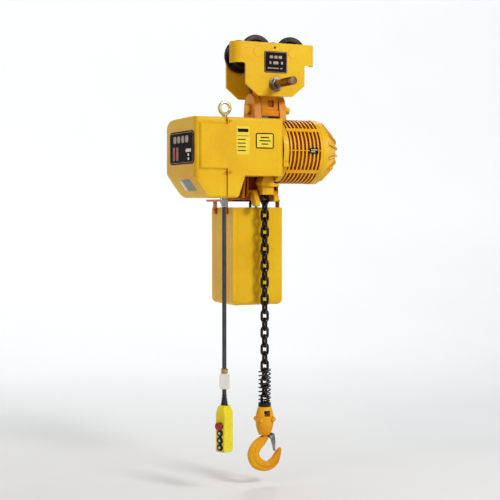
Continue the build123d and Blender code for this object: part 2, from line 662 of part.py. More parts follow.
lower_front_y = 34.0
lower_bottom_z = -372.0
with BuildPart() as lower_housing:
    # casting below the floor, behind the chain guide, open to the front and stepped under the motor
    slab_xz([(-106, case_bottom_z), (case_end_x - 1, case_bottom_z), (case_end_x - 1, -330), (58, -330),
             (52, lower_bottom_z), (-98, lower_bottom_z)], lower_front_y, 94)
    slab_xz([(-98, case_bottom_z - 4), (case_end_x - 5, case_bottom_z - 4), (case_end_x - 5, -334), (50, -334),
             (46, lower_bottom_z + 4), (-91, lower_bottom_z + 4)], lower_front_y - 1, 88, Mode.SUBTRACT)
    # part of the front is closed, beside and behind the chain guide
    box(-60, case_end_x - 1, lower_front_y, lower_front_y + 4, lower_bottom_z, case_bottom_z)
    # slanted stiffening ribs
    for x in (-98, -62):
        slab_xz([(x, case_bottom_z), (x + 6, case_bottom_z), (x + 1, -368), (x - 5, -368)], 6, 62)
    # lugs that carry the limit lever's pivot
    for x0, x1, top_z in ((-50, -44, case_bottom_z), (44, 50, -330)):
        box(x0, x1, 14, 62, -364, top_z)
        rod_x(x0, x1, 24, -350, 3.5, Mode.SUBTRACT)
    rod_z(lower_bottom_z - 1, case_bottom_z, 0, 2 * sheave_y, 14.5, Mode.SUBTRACT)
save(lower_housing.part, "lower_housing")

lever_y, lever_z = 24.0, -350.0
with BuildPart() as limit_lever:
    rod_x(-50, 50, lever_y, lever_z, 3.5 - running_gap)
    rod_x(-43, 43, lever_y, lever_z, 6)
    # two prongs beside the load chain, the left one longer
    for x0, x1, low_z in ((-36, -22, -392), (23, 38, -378)):
        slab_yz([(lever_y + 5, lever_z + 4), (lever_y + 5, lever_z - 8), (4, low_z), (-14, low_z),
                 (-16, low_z + 12), (4, lever_z + 3)], x0, x1)
    fillet([e for e in limit_lever.edges().filter_by(Axis.X) if e.center().Z < -376], radius=5)
save(limit_lever.part, "limit_lever")

bucket_x0, bucket_x1 = -87.0, 74.0
bucket_y0, bucket_y1 = 30.0, 188.0
bucket_z0, bucket_z1 = -677.0, -395.0
bucket_t = 1.5
bucket_foot_r = 15.0
bucket_corner_r = 9.0


def bucket_form(inset):
    """The bucket's outside, moved inwards by inset."""
    with BuildPart(mode=Mode.PRIVATE) as form:
        box(bucket_x0 + inset, bucket_x1 - inset, bucket_y0 + inset, bucket_y1 - inset,
            bucket_z0 + inset, bucket_z1)
        fillet([e for e in form.edges() if abs(e.center().Z - bucket_z0 - inset) < 0.1],
               radius=bucket_foot_r - inset)
        fillet([e for e in form.edges().filter_by(Axis.Z) if e.center().X > 0 or e.center().Y > bucket_y0 + 50],
               radius=bucket_corner_r - inset)
    return form.part


with BuildPart() as chain_bucket:
    add(bucket_form(0))
    add(bucket_form(bucket_t), mode=Mode.SUBTRACT)
    # corner post down the front left edge
    box(bucket_x0, bucket_x0 + 12, bucket_y0 - 3, bucket_y0 + 0.2, bucket_z0 + 14, bucket_z1)
save(chain_bucket.part, "chain_bucket")

bar_z0, bar_z1 = lower_bottom_z - 6, lower_bottom_z
with BuildPart() as bucket_bracket:
    box(bucket_x0 - 17, bucket_x0, lower_front_y + 1, bucket_y1 - 4, bar_z0, bar_z1)
    box(bucket_x1 - 26, bucket_x1 + 4, 60, bucket_y1 - 4, bar_z0, bar_z1)
    box(bucket_x0 - 17, bucket_x1 + 4, 100, 118, bar_z0, bar_z1)
    for x0, x1 in ((bucket_x0 - 4, bucket_x0), (bucket_x1, bucket_x1 + 4)):
        for y in (62, 142):
            box(x0, x1, y, y + 20, -414, bar_z0)
            rod_x(x0, x1, y + 10, -405, 4, Mode.SUBTRACT)
save(bucket_bracket.part, "bucket_bracket")

with BuildPart() as hoist_screws:
    # control cover: screws at the corners of its front and back
    for y_face, side, zs in ((case_front_y, -1, (-160, -300)), (body_back_y, 1, (-215, -300))):
        for z in zs:
            rod_y(y_face, y_face + side * 3, -152, z, 4)
    # motor end cover: four screws on its rim
    for angle in cover_screw_angles:
        y, z = cover_screw_r * cos(radians(angle)), motor_z + cover_screw_r * sin(radians(angle))
        rod_x(152, 157, y, z, 4.5)
    # bucket brackets: four bolts with hexagon heads
    for x, side in ((bucket_x0 - 4, -1), (bucket_x1 + 4, 1)):
        for y in (72, 152):
            rod_x(x - side * 4, x, y, -405, 4)
            with BuildSketch(along_x(x, y, -405)):
                RegularPolygon(radius=7, side_count=6)
            extrude(amount=side * 5)
save(hoist_screws.part, "hoist_screws")

with BuildPart() as cable_gland:
    rod_z(-376, hump_bottom_z, gland_x, gland_y, 10)
    with BuildSketch(Plane.XY.offset(-384)):
        with Locations((gland_x, gland_y)):
            RegularPolygon(radius=12.5, side_count=6)
    extrude(amount=8)
    rod_z(-394, -384, gland_x, gland_y, 10.5)
    chamfer(cable_gland.edges().filter_by(GeomType.CIRCLE).sort_by(Axis.Z)[0], length=2)
    # socket that lets the cable swing
    rod_z(-394, cable_pivot_z + cable_r + 0.3, gland_x, gland_y, 8.3, Mode.SUBTRACT)
save(cable_gland.part, "cable_gland")

# --- load chain ---------------------------------------------------------------------------
link_end = chain_pitch / 2 + chain_wire_r + 0.1      # centre line of the wire at a link's end
bow_r = chain_half_w - chain_wire_r
straight_half = link_end - bow_r


def link(plane):
    """One chain link: its length runs along the plane's y, its width along the plane's x."""
    with BuildPart(mode=Mode.PRIVATE) as ring:
        for side in (-1, 1):
            with BuildSketch(Plane.XZ.offset(-straight_half)):
                with Locations((side * bow_r, 0)):
                    Circle(chain_wire_r)
            extrude(amount=2 * straight_half)
            with BuildSketch(Plane.XZ.offset(-side * straight_half)):
                with Locations((bow_r, 0)):
                    Circle(chain_wire_r)
            revolve(axis=Axis((0, side * straight_half, 0), (0, 0, 1)), revolution_arc=side * 180)
    return plane.location * ring.part


def upright(x, y, z, flat):
    """Plane of a link that hangs straight down, across X if flat and across Y if not."""
    across = (1, 0, 0) if flat else (0, 1, 0)
    facing = Vector(*across).cross(Vector(0, 0, 1))
    return Plane(origin=(x, y, z), x_dir=across, z_dir=facing)


load_links = 30
with BuildPart() as load_chain:
    for n in range(load_links):
        add(link(upright(0, 0, chain_top_z - (n + 0.5) * chain_pitch, n % 2 == 0)))
save(load_chain.part, "load_chain")

with BuildPart() as slack_chain:
    # over the sheave, one link to each half pocket, from the load side to the slack side
    for n in range(5):
        turn = radians(162 - 36 * n)
        middle_r = sheave_r * cos(radians(18)) + 0.8
        origin = (0, sheave_y + middle_r * cos(turn), motor_z + middle_r * sin(turn))
        radial = Vector(0, cos(turn), sin(turn))
        tangent = Vector(0, -sin(turn), cos(turn))
        if n % 2 == 1:
            add(link(Plane(origin=origin, x_dir=(1, 0, 0), z_dir=Vector(1, 0, 0).cross(tangent))))
        else:
            add(link(Plane(origin=origin, x_dir=radial, z_dir=radial.cross(tangent))))
    for n in range(13):
        add(link(upright(0, 2 * sheave_y, motor_z - 12 - n * chain_pitch, n % 2 == 0)))
save(slack_chain.part, "slack_chain")

spring_coils = 8
spring_wire_r = 2.1
with BuildPart() as buffer_spring:
    spring_h = spring_top_z - spring_bottom_z - 2 * spring_wire_r - 2
    with BuildLine(Plane.XY.offset(spring_bottom_z + spring_wire_r + 1)):
        coil = Helix(pitch=spring_h / spring_coils, height=spring_h, radius=16.3)
    with BuildSketch(Plane(origin=coil @ 0, z_dir=coil % 0)):
        Circle(spring_wire_r)
    sweep(is_frenet=True)
save(buffer_spring.part, "buffer_spring")

with BuildPart() as spring_seat:
    rod_z(block_top_z, spring_bottom_z, 0, 0, 18.5)
    rod_z(block_top_z, spring_bottom_z, 0, 0, 14, Mode.SUBTRACT)
save(spring_seat.part, "spring_seat")

# --- hook block and hook ------------------------------------------------------------------
block_half_y = 19.0
# ovals of the hook block from its foot up: height, half width and half depth
block_sections = [
    (block_bottom_z, 17, 15), (-1028, 24.5, 17.5), (-1002, 27.8, block_half_y), (-980, 24, 18.5), (block_top_z, 18.5, 17),
]
bolt_x = 19.5
bolt_z = -1003.0
boss_y = 17.0
shank_r = 9.0


def block_half(side):
    """One half of the hook block: an oval shell cut by the plane Y = 0."""
    ovals = []
    for z, half_w, half_d in block_sections:
        with BuildSketch(Plane.XY.offset(z)) as oval:
            Ellipse(half_w, half_d)
        ovals.append(oval.sketch)
    loft(ovals)
    for x in (-bolt_x, bolt_x):
        rod_y(-boss_y, boss_y, x, bolt_z, 7.5)
    # window, chain slot, nut room, shank bore and bolt holes
    box(-9.5, 9.5, -30, 30, -994, -977, Mode.SUBTRACT)
    rod_z(-980, block_top_z, 0, 0, 14, Mode.SUBTRACT)
    rod_z(-1014.5, -1002, 0, 0, 12, Mode.SUBTRACT)
    rod_z(block_bottom_z, -1014.5, 0, 0, shank_r + running_gap, Mode.SUBTRACT)
    for x in (-bolt_x, bolt_x):
        rod_y(-boss_y, boss_y, x, bolt_z, 3.5, Mode.SUBTRACT)
    rod_x(-18, 18, 0, -976, 3.5, Mode.SUBTRACT)
    y0, y1 = sorted((0, -side * 40))
    box(-60, 60, y0, y1, block_bottom_z - 5, block_top_z + 5, Mode.SUBTRACT)


for half_name, side in (("hook_block_front", -1), ("hook_block_rear", 1)):
    with BuildPart() as half:
        block_half(side)
    save(half.part, half_name)

with BuildPart() as hook_block_bolts:
    for x in (-bolt_x, bolt_x):
        rod_y(-boss_y, boss_y, x, bolt_z, 3.5)
        rod_y(-boss_y - 4, -boss_y, x, bolt_z, 5.5)
        with BuildSketch(along_y(x, boss_y, bolt_z)):
            RegularPolygon(radius=6.2, side_count=6)
        extrude(amount=4)
    # chain pin, across the block under its mouth
    rod_x(-18, 18, 0, -976, 3.5)
save(hook_block_bolts.part, "hook_block_bolts")

with BuildPart() as hook_nut:
    rod_z(-1014, -1004, 0, 0, 11)
    rod_z(-1014, -1004, 0, 0, shank_r - 2, Mode.SUBTRACT)
save(hook_nut.part, "hook_nut")

latch_x, latch_z = 15.0, -1054.0
# sections of the hook from its neck to its tip: centre in X and Z, half width, half thickness
hook_sections = [
    ((0, -1047.6), 9, 9), ((0, -1056), 10.5, 9.5), ((-10, -1066), 15, 10), ((-26, -1080), 17, 10.8),
    ((-36, -1102), 18, 11), ((-25, -1127.5), 18.4, 11.3), ((5.5, -1140), 14.5, 11.5),
    ((29, -1129), 14.5, 11), ((40.5, -1110), 11, 9), ((47.5, -1096), 6.3, 6.5), ((50, -1090), 3, 3.5),
]
with BuildPart() as hook:
    ovals = []
    for n, ((x, z), half_w, half_t) in enumerate(hook_sections):
        x_before, z_before = hook_sections[max(n - 1, 0)][0]
        x_after, z_after = hook_sections[min(n + 1, len(hook_sections) - 1)][0]
        along = Vector(x_after - x_before, 0, z_after - z_before).normalized()
        if n == 0:
            along = Vector(0, 0, -1)
        with BuildSketch(Plane(origin=(x, 0, z), x_dir=Vector(0, 1, 0).cross(along), z_dir=along)) as oval:
            Ellipse(half_w, half_t)
        ovals.append(oval.sketch)
    loft(ovals)
    rod_z(-1047.6, -1014, 0, 0, shank_r)
    rod_z(-1014, -1004, 0, 0, shank_r - 2)
    rod_y(-8, 8, latch_x, latch_z, 5.5)
    rod_y(-12, 12, latch_x, latch_z, 3, Mode.SUBTRACT)
save(hook.part, "hook")

with BuildPart() as latch_pin:
    rod_y(-15, 15, latch_x, latch_z, 3)
save(latch_pin.part, "latch_pin")

with BuildPart() as hook_latch:
    # two ears on the pin, joined by the strip that closes the throat
    for side in (-1, 1):
        y0, y1 = sorted((side * 11.6, side * 13.4))
        slab_xz([(latch_x, latch_z + 5.5), (25, -1045), (28, -1064), (25.5, -1064), (latch_x, latch_z - 6)], y0, y1)
        rod_y(y0, y1, latch_x, latch_z, 6)
    slab_xz([(22.5, -1046), (25, -1045), (32.6, -1098), (30, -1098)], -13.4, 13.4)
    # the strip narrows towards the hook's tip
    for side in (-1, 1):
        slab_yz([(side * 7, -1110), (side * 7, -1088), (side * 13.5, -1066), (side * 20, -1066), (side * 20, -1110)],
                15, 40, Mode.SUBTRACT)
    rod_y(-14, 14, latch_x, latch_z, 3 + running_gap, Mode.SUBTRACT)
save(hook_latch.part, "hook_latch")

# --- pendant ------------------------------------------------------------------------------
pendant_h = pendant_top_z - pendant_bottom_z
pendant_mid_z = (pendant_top_z + pendant_bottom_z) / 2
pendant_across = Vector(-pendant_normal.Y, pendant_normal.X, 0)


def pendant_plane(depth, up=0.0):
    """Plane parallel to the button face, a depth in front of the handset's middle."""
    origin = Vector(gland_x, gland_y, pendant_mid_z + up) + pendant_normal * depth
    return Plane(origin=origin, x_dir=pendant_across, z_dir=pendant_normal)


def pendant_outline(inset):
    """Front view of the handset, narrower at the top where the cable enters."""
    half_w, half_h = pendant_w / 2 - inset, pendant_h / 2 - inset
    return [(-half_w, -half_h), (half_w, -half_h), (half_w, half_h - 24), (half_w - 7, half_h),
            (7 - half_w, half_h), (-half_w, half_h - 24)]


# height of each button's centre above the handset's middle, radius and node name
buttons = [
    ("stop_button", 9, 11.5, 11.0), ("button_up", -11, 8.2, 4.5),
    ("button_down", -31.5, 8.2, 4.5), ("button_travel", -51, 8.2, 4.5),
]
button_gap = 0.4
stem_r = 8.2
cap_lift = 5.0              # room under the stop button's cap, more than its travel

for shell_name, side in (("pendant_front", 1), ("pendant_back", -1)):
    with BuildPart() as shell:
        with BuildSketch(pendant_plane(0)):
            Polygon(*pendant_outline(0), align=None)
        extrude(amount=side * pendant_half_d)
        fillet(shell.edges().filter_by(Axis.Z), radius=3)
        fillet(shell.faces().sort_by(Axis((0, 0, 0), pendant_normal))[-1 if side > 0 else 0].edges(), radius=2.5)
        with BuildSketch(pendant_plane(0)):
            Polygon(*pendant_outline(2.5), align=None)
        extrude(amount=side * (pendant_half_d - 2.5), mode=Mode.SUBTRACT)
        # half of the cable's hole in the top wall
        rod_z(pendant_top_z - 4, pendant_top_z + 1, gland_x, gland_y, cable_r, Mode.SUBTRACT)
        if side > 0:
            for _, up, _, _ in buttons:
                with BuildSketch(pendant_plane(0, up)):
                    Circle(stem_r + button_gap)
                extrude(amount=pendant_half_d + 1, mode=Mode.SUBTRACT)
    save(shell.part, shell_name)

for button_name, up, r, proud in buttons:
    with BuildPart() as button:
        with BuildSketch(pendant_plane(10, up)):
            Circle(stem_r)
        extrude(amount=pendant_half_d - 10 + min(proud, cap_lift + 0.5))
        if r > stem_r:
            with BuildSketch(pendant_plane(pendant_half_d + cap_lift, up)):
                Circle(r)
            extrude(amount=proud - cap_lift)
        fillet(button.faces().sort_by(Axis((0, 0, 0), pendant_normal))[-1].edges(), radius=1.5)
    save(button.part, button_name)

with BuildPart() as pendant_cable:
    rod_z(pendant_top_z - 8, cable_pivot_z, gland_x, gland_y, cable_r)
    with Locations((gland_x, gland_y, cable_pivot_z)):
        Sphere(cable_r)
save(pendant_cable.part, "pendant_cable")

with BuildPart() as cable_tag:
    # clamp, then the flat tag that hangs on the cable
    rod_z(-857, -844, gland_x, gland_y, 10)
    with BuildSketch(Plane.XY.offset(-902)):
        with Locations(Location((gland_x, gland_y, 0), (0, 0, -20))):
            RectangleRounded(29, 17, 5)
    extrude(amount=45)
    rod_z(-902, -844, gland_x, gland_y, cable_r, Mode.SUBTRACT)
save(cable_tag.part, "cable_tag")
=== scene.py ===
from math import cos, pi, radians, sin

import bmesh
import bpy
from mathutils import Matrix, Vector


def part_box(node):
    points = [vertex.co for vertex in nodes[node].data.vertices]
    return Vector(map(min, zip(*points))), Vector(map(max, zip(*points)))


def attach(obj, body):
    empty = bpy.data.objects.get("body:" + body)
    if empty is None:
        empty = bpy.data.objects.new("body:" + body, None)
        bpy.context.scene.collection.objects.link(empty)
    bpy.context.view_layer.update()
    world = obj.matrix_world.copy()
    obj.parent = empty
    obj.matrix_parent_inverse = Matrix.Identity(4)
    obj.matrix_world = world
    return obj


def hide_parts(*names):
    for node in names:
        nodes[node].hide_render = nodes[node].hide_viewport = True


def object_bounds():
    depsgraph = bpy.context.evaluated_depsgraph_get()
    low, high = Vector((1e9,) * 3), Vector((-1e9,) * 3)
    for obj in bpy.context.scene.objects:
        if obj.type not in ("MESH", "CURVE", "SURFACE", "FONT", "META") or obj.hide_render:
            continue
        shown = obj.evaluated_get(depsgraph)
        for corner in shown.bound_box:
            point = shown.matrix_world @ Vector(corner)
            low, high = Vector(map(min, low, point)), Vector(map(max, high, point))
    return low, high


# Looks for the electric chain hoist. Lengths are in millimetres in the helpers below and are
# turned into metres when a mesh is made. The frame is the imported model's: +Z up, +X to the motor.

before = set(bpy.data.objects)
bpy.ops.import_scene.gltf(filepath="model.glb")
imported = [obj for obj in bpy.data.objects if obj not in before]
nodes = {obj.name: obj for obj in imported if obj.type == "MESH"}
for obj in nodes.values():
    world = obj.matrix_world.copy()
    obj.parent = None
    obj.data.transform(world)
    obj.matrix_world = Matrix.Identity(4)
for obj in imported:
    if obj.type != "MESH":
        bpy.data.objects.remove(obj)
cad_box = [list(corner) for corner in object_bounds()]
MM = 0.001
FRONT, BACK, LEFT, RIGHT, UP = (0, -1, 0), (0, 1, 0), (-1, 0, 0), (1, 0, 0), (0, 0, 1)


def box_mm(node):
    """Lowest and highest corner of a CAD node, in millimetres."""
    low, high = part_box(node)
    return low / MM, high / MM


# --- camera -------------------------------------------------------------------------------
def aim(thing, place, target):
    """Puts a camera or a light at a place and turns it to a target, both in metres."""
    bpy.context.scene.collection.objects.link(thing)
    thing.location = place
    thing.rotation_mode = "QUATERNION"
    thing.rotation_quaternion = (Vector(target) - Vector(place)).to_track_quat("-Z", "Y")


def make_camera():
    """A long lens in front and to the left, level with the rim of the chain bucket."""
    camera = bpy.data.objects.new("camera", bpy.data.cameras.new("camera"))
    aim(camera, (-1.428, -2.963, -0.402), (-0.038, 0.018, -0.517))
    camera.data.sensor_width = 36
    camera.data.lens = 82.8
    camera.data.clip_end = 100
    bpy.context.scene.camera = camera


make_camera()


# --- materials ----------------------------------------------------------------------------
def new_material(name):
    """An empty node material: its node tree, its shader and object coordinates."""
    material = bpy.data.materials.new(name)
    material.use_nodes = True
    tree = material.node_tree
    shader = tree.nodes["Principled BSDF"]
    coords = tree.nodes.new("ShaderNodeTexCoord").outputs["Object"]
    return material, tree, shader, coords


def noise(tree, coords, scale, detail=3.0, roughness=0.55, stretch=None):
    """A noise pattern's value, with features about 1/scale metres across."""
    if stretch is not None:
        mapping = tree.nodes.new("ShaderNodeMapping")
        mapping.inputs["Scale"].default_value = stretch
        tree.links.new(coords, mapping.inputs["Vector"])
        coords = mapping.outputs["Vector"]
    node = tree.nodes.new("ShaderNodeTexNoise")
    node.inputs["Scale"].default_value = scale
    node.inputs["Detail"].default_value = detail
    node.inputs["Roughness"].default_value = roughness
    tree.links.new(coords, node.inputs["Vector"])
    return node.outputs["Fac"]


def ramp(tree, value, stops):
    """Colours or greys along a value: stops are (position, colour)."""
    node = tree.nodes.new("ShaderNodeValToRGB")
    elements = node.color_ramp.elements
    while len(elements) < len(stops):
        elements.new(0.5)
    for element, (position, color) in zip(elements, stops):
        element.position = position
        element.color = (*color, 1)
    tree.links.new(value, node.inputs["Fac"])
    return node.outputs["Color"]


def spread(tree, value, low, high, start=0.3, end=0.7):
    """The value's range start to end, moved to low to high."""
    node = tree.nodes.new("ShaderNodeMapRange")
    node.inputs["From Min"].default_value = start
    node.inputs["From Max"].default_value = end
    node.inputs["To Min"].default_value = low
    node.inputs["To Max"].default_value = high
    tree.links.new(value, node.inputs["Value"])
    return node.outputs["Result"]


def mix(tree, factor, a, b, blend="MIX"):
    """Two colours mixed by a factor. Each of a, b and factor is a socket or a plain value."""
    node = tree.nodes.new("ShaderNodeMix")
    node.data_type = "RGBA"
    node.blend_type = blend
    for socket, item in ((node.inputs[0], factor), (node.inputs[6], a), (node.inputs[7], b)):
        if isinstance(item, bpy.types.NodeSocket):
            tree.links.new(item, socket)
        elif socket.type == "RGBA":
            socket.default_value = (*item, 1)
        else:
            socket.default_value = item
    return node.outputs[2]


def bump(tree, shader, layers):
    """Surface relief from (height value, depth in metres) pairs."""
    normal = None
    for height, depth in layers:
        node = tree.nodes.new("ShaderNodeBump")
        node.inputs["Strength"].default_value = 1.0
        node.inputs["Distance"].default_value = depth
        tree.links.new(height, node.inputs["Height"])
        if normal is not None:
            tree.links.new(normal, node.inputs["Normal"])
        normal = node.outputs["Normal"]
    tree.links.new(normal, shader.inputs["Normal"])


def painted_crevice_shade(tree, reach):
    """Ambient occlusion used as painted shade: 1 on open surfaces, falling to 0 deep in a corner."""
    node = tree.nodes.new("ShaderNodeAmbientOcclusion")
    node.samples = 8
    node.inputs["Distance"].default_value = reach
    return node.outputs["AO"]


def enamel(name, color, shade, light, rough=0.3, cast=0.0, reach=0.03, depth=0.8):
    """Paint over metal: broad tone changes, painted orange-brown shade in the corners, orange peel, and
    casting grain under it.
    """
    material, tree, shader, coords = new_material(name)
    tone = ramp(tree, noise(tree, coords, 9, 4), [(0.32, shade), (0.52, color), (0.72, light)])
    # painted shade: corners and recesses darken through orange to red-brown from ambient occlusion; depth
    # sets how strong
    stops = [(0.0, (0.26, 0.06, 0.03)), (0.45, (0.74, 0.40, 0.28)), (0.9, (1, 1, 1))]
    corner = ramp(tree, painted_crevice_shade(tree, reach), stops)
    grime = ramp(tree, noise(tree, coords, 55, 8, 0.7), [(0.30, (0.72, 0.66, 0.55)), (0.44, (1, 1, 1))])
    body = mix(tree, depth, tone, corner, "MULTIPLY")
    body = mix(tree, 0.35, body, grime, "MULTIPLY")
    tree.links.new(body, shader.inputs["Base Color"])
    sheen = spread(tree, noise(tree, coords, 30, 5), rough - 0.06, rough + 0.12)
    tree.links.new(sheen, shader.inputs["Roughness"])
    shader.inputs["Specular IOR Level"].default_value = 0.12
    shader.inputs["Coat Weight"].default_value = 0.05
    shader.inputs["Coat Roughness"].default_value = 0.12
    layers = [(noise(tree, coords, 480, 2), 0.00006)]
    if cast:
        layers.append((noise(tree, coords, 260, 3, 0.6), 0.00035 * cast))
        layers.append((noise(tree, coords, 45, 2), 0.0006 * cast))
    bump(tree, shader, layers)
    return material


def metal(name, color, shade, rough=0.3, grain=None, scratches=0.00004, reach=0.015):
    """Bare or plated metal: tone changes, machining lines along one direction, painted shade in the corners.
    """
    material, tree, shader, coords = new_material(name)
    stretch = grain or (1, 1, 1)
    lines = noise(tree, coords, 320, 4, 0.6, stretch)
    tone = ramp(tree, noise(tree, coords, 28, 5), [(0.34, shade), (0.66, color)])
    tone = mix(tree, 0.25, tone, ramp(tree, lines, [(0.35, (0.6, 0.6, 0.6)), (0.65, (1, 1, 1))]), "MULTIPLY")
    # painted shade: darker deep in corners, from ambient occlusion
    corner = ramp(tree, painted_crevice_shade(tree, reach), [(0.0, (0.22, 0.18, 0.15)), (0.7, (1, 1, 1))])
    tree.links.new(mix(tree, 0.85, tone, corner, "MULTIPLY"), shader.inputs["Base Color"])
    shader.inputs["Metallic"].default_value = 1.0
    sheen = spread(tree, noise(tree, coords, 60, 6, 0.65), rough - 0.08, rough + 0.16)
    tree.links.new(sheen, shader.inputs["Roughness"])
    bump(tree, shader, [(lines, scratches)])
    return material


def plastic(name, color, shade, rough=0.35, grain=0.00005, scale=900, gloss=0.4):
    """Moulded plastic or rubber: fine spark grain, slight mottling, painted shade in the corners."""
    material, tree, shader, coords = new_material(name)
    tone = ramp(tree, noise(tree, coords, 40, 4), [(0.35, shade), (0.65, color)])
    # painted shade: darker deep in corners, from ambient occlusion
    corner = ramp(tree, painted_crevice_shade(tree, 0.006), [(0.0, (0.35, 0.28, 0.22)), (0.7, (1, 1, 1))])
    tree.links.new(mix(tree, 0.8, tone, corner, "MULTIPLY"), shader.inputs["Base Color"])
    sheen = spread(tree, noise(tree, coords, 90, 5), rough - 0.05, rough + 0.1)
    tree.links.new(sheen, shader.inputs["Roughness"])
    shader.inputs["Specular IOR Level"].default_value = gloss
    bump(tree, shader, [(noise(tree, coords, scale, 2), grain)])
    return material


YELLOW, YELLOW_SHADE, YELLOW_LIGHT = (0.80, 0.475, 0.014), (0.75, 0.415, 0.012), (0.83, 0.525, 0.020)
paint_sheet = enamel("enamel_on_sheet", YELLOW, YELLOW_SHADE, YELLOW_LIGHT, rough=0.30)
paint_cast = enamel("enamel_on_casting", YELLOW, YELLOW_SHADE, YELLOW_LIGHT, rough=0.34, cast=1.0)
paint_fins = enamel("enamel_on_fins", (0.84, 0.43, 0.010), (0.76, 0.34, 0.008), (0.88, 0.50, 0.016),
                    rough=0.34, cast=0.6, reach=0.016, depth=1.0)
# painted shade: a darker red-brown copy of the yellow enamel, for the parts in shadow under the body
painted_shade_under_body = enamel("enamel_with_painted_shade_under_body", (0.60, 0.22, 0.010), (0.46, 0.13, 0.008), (0.72, 0.32, 0.012),
                     rough=0.36, cast=1.0, reach=0.05, depth=1.0)
paint_hanger = enamel("enamel_on_hanger", (0.76, 0.30, 0.008), (0.66, 0.23, 0.006), (0.80, 0.36, 0.010),
                      rough=0.34, cast=1.0)
paint_hook = enamel("enamel_on_forging", (0.80, 0.36, 0.010), (0.66, 0.26, 0.008), (0.86, 0.46, 0.02),
                    rough=0.36, cast=0.8, reach=0.015)
label_black = plastic("label_black", (0.014, 0.010, 0.009), (0.008, 0.006, 0.005), rough=0.55, gloss=0.04)
label_pale = plastic("label_pale", (0.80, 0.78, 0.72), (0.68, 0.66, 0.60), rough=0.4)
label_faded = plastic("label_faded", (0.46, 0.34, 0.27), (0.32, 0.23, 0.18), rough=0.45)
label_red = plastic("label_red", (0.40, 0.10, 0.08), (0.26, 0.05, 0.04), rough=0.45)
label_yellow = plastic("label_yellow", (0.86, 0.66, 0.03), (0.78, 0.58, 0.03), rough=0.4)
wheel_iron = metal("oiled_wheel_iron", (0.050, 0.040, 0.036), (0.018, 0.015, 0.014), rough=0.42,
                   grain=(1, 8, 1))
steel = metal("machined_steel", (0.66, 0.64, 0.60), (0.42, 0.39, 0.35), rough=0.28)
dark_steel = metal("dark_steel", (0.20, 0.18, 0.16), (0.08, 0.07, 0.06), rough=0.36)
# painted reflection: the chrome's brown tint stands for the yellow paint mirrored in the shaft
reflection_tinted_chrome = metal("chrome_with_painted_reflection", (0.30, 0.18, 0.10), (0.13, 0.075, 0.045), rough=0.26, grain=(0.2, 6, 0.2))
nut_steel = metal("browned_steel", (0.34, 0.31, 0.27), (0.16, 0.14, 0.12), rough=0.34)
latch_zinc = metal("dull_zinc", (0.34, 0.34, 0.33), (0.20, 0.20, 0.19), rough=0.34)
zinc = metal("yellow_zinc", (0.80, 0.76, 0.42), (0.62, 0.60, 0.34), rough=0.26)
gland_nickel = metal("nickel_plate", (0.78, 0.77, 0.74), (0.52, 0.50, 0.47), rough=0.18)
bronze = metal("bearing_bronze", (0.60, 0.38, 0.16), (0.42, 0.26, 0.10), rough=0.3)
bare_cast = metal("bare_casting", (0.62, 0.62, 0.60), (0.45, 0.45, 0.44), rough=0.45)
chain_steel = metal("black_oxide_chain", (0.075, 0.066, 0.058), (0.022, 0.020, 0.018), rough=0.20,
                    reach=0.006)
pendant_yellow = plastic("pendant_yellow", (0.90, 0.76, 0.015), (0.86, 0.70, 0.012), rough=0.36)
button_red = plastic("button_red", (0.42, 0.022, 0.014), (0.32, 0.015, 0.010), rough=0.3)
button_black = plastic("button_black", (0.020, 0.020, 0.021), (0.012, 0.012, 0.012), rough=0.28)
cable_rubber = plastic("cable_rubber", (0.055, 0.055, 0.055), (0.035, 0.034, 0.033), rough=0.5, grain=0.0001)
tag_plastic = plastic("tag_plastic", (0.83, 0.82, 0.77), (0.74, 0.72, 0.66), rough=0.45)
window_grey = plastic("window_grey", (0.16, 0.19, 0.16), (0.10, 0.12, 0.10), rough=0.3)
grey_moulding = plastic("grey_moulding", (0.28, 0.29, 0.29), (0.20, 0.21, 0.21), rough=0.5)

cad_materials = {
    paint_sheet: ["trolley_front_plate", "trolley_rear_plate", "chain_bucket", "limit_lever"],
    paint_cast: ["centre_housing", "gear_housing", "motor_end_cover", "control_cover",
                 "chain_guide", "wheel_axles", "suspension_pin", "suspension_pin_nut"],
    # the painted shade copy of the enamel goes on the shaded parts under the body
    painted_shade_under_body: ["lower_housing", "bucket_bracket"],
    paint_fins: ["motor_housing"],
    paint_hanger: ["hanger_block", "suspension_bracket"],
    paint_hook: ["hook_block_front", "hook_block_rear", "hook_block_bolts"],
    label_black: ["trolley_rating_plate", "end_nameplate"],
    wheel_iron: ["wheel_front_left", "wheel_front_right", "wheel_rear_left", "wheel_rear_right"],
    bronze: ["wheel_bushes"],
    nut_steel: ["cross_shaft_washers", "cross_shaft_nuts"],
    steel: ["hoist_screws", "latch_pin", "hook_nut", "intermediate_gear", "output_gear",
            "load_sheave", "shaft_bearings", "rotor", "brake_disc"],
    latch_zinc: ["hook_latch"],
    reflection_tinted_chrome: ["cross_shaft"],
    zinc: ["eye_bolt"],
    gland_nickel: ["cable_gland"],
    bare_cast: ["bearing_shield"],
    dark_steel: ["stator", "brake_coil", "transformer"],
    grey_moulding: ["contactors"],
    chain_steel: ["load_chain", "slack_chain", "buffer_spring", "spring_seat"],
    pendant_yellow: ["pendant_front", "pendant_back"],
    button_red: ["stop_button"],
    button_black: ["button_up", "button_down", "button_travel"],
    cable_rubber: ["pendant_cable"],
    tag_plastic: ["cable_tag"],
}
for material, names in cad_materials.items():
    for node in names:
        nodes[node].data.materials.clear()
        nodes[node].data.materials.append(material)


def soften(node, width):
    """Rounds a CAD node's sharp edges when it is drawn. The mesh itself stays as it is."""
    weld = nodes[node].modifiers.new("weld", "WELD")
    weld.merge_threshold = 0.000005
    edges = nodes[node].modifiers.new("edges", "BEVEL")
    edges.width = width * MM
    edges.segments = 2
    edges.limit_method = "ANGLE"
    edges.angle_limit = radians(38)
    edges.use_clamp_overlap = True
    nodes[node].modifiers.new("shading", "WEIGHTED_NORMAL")


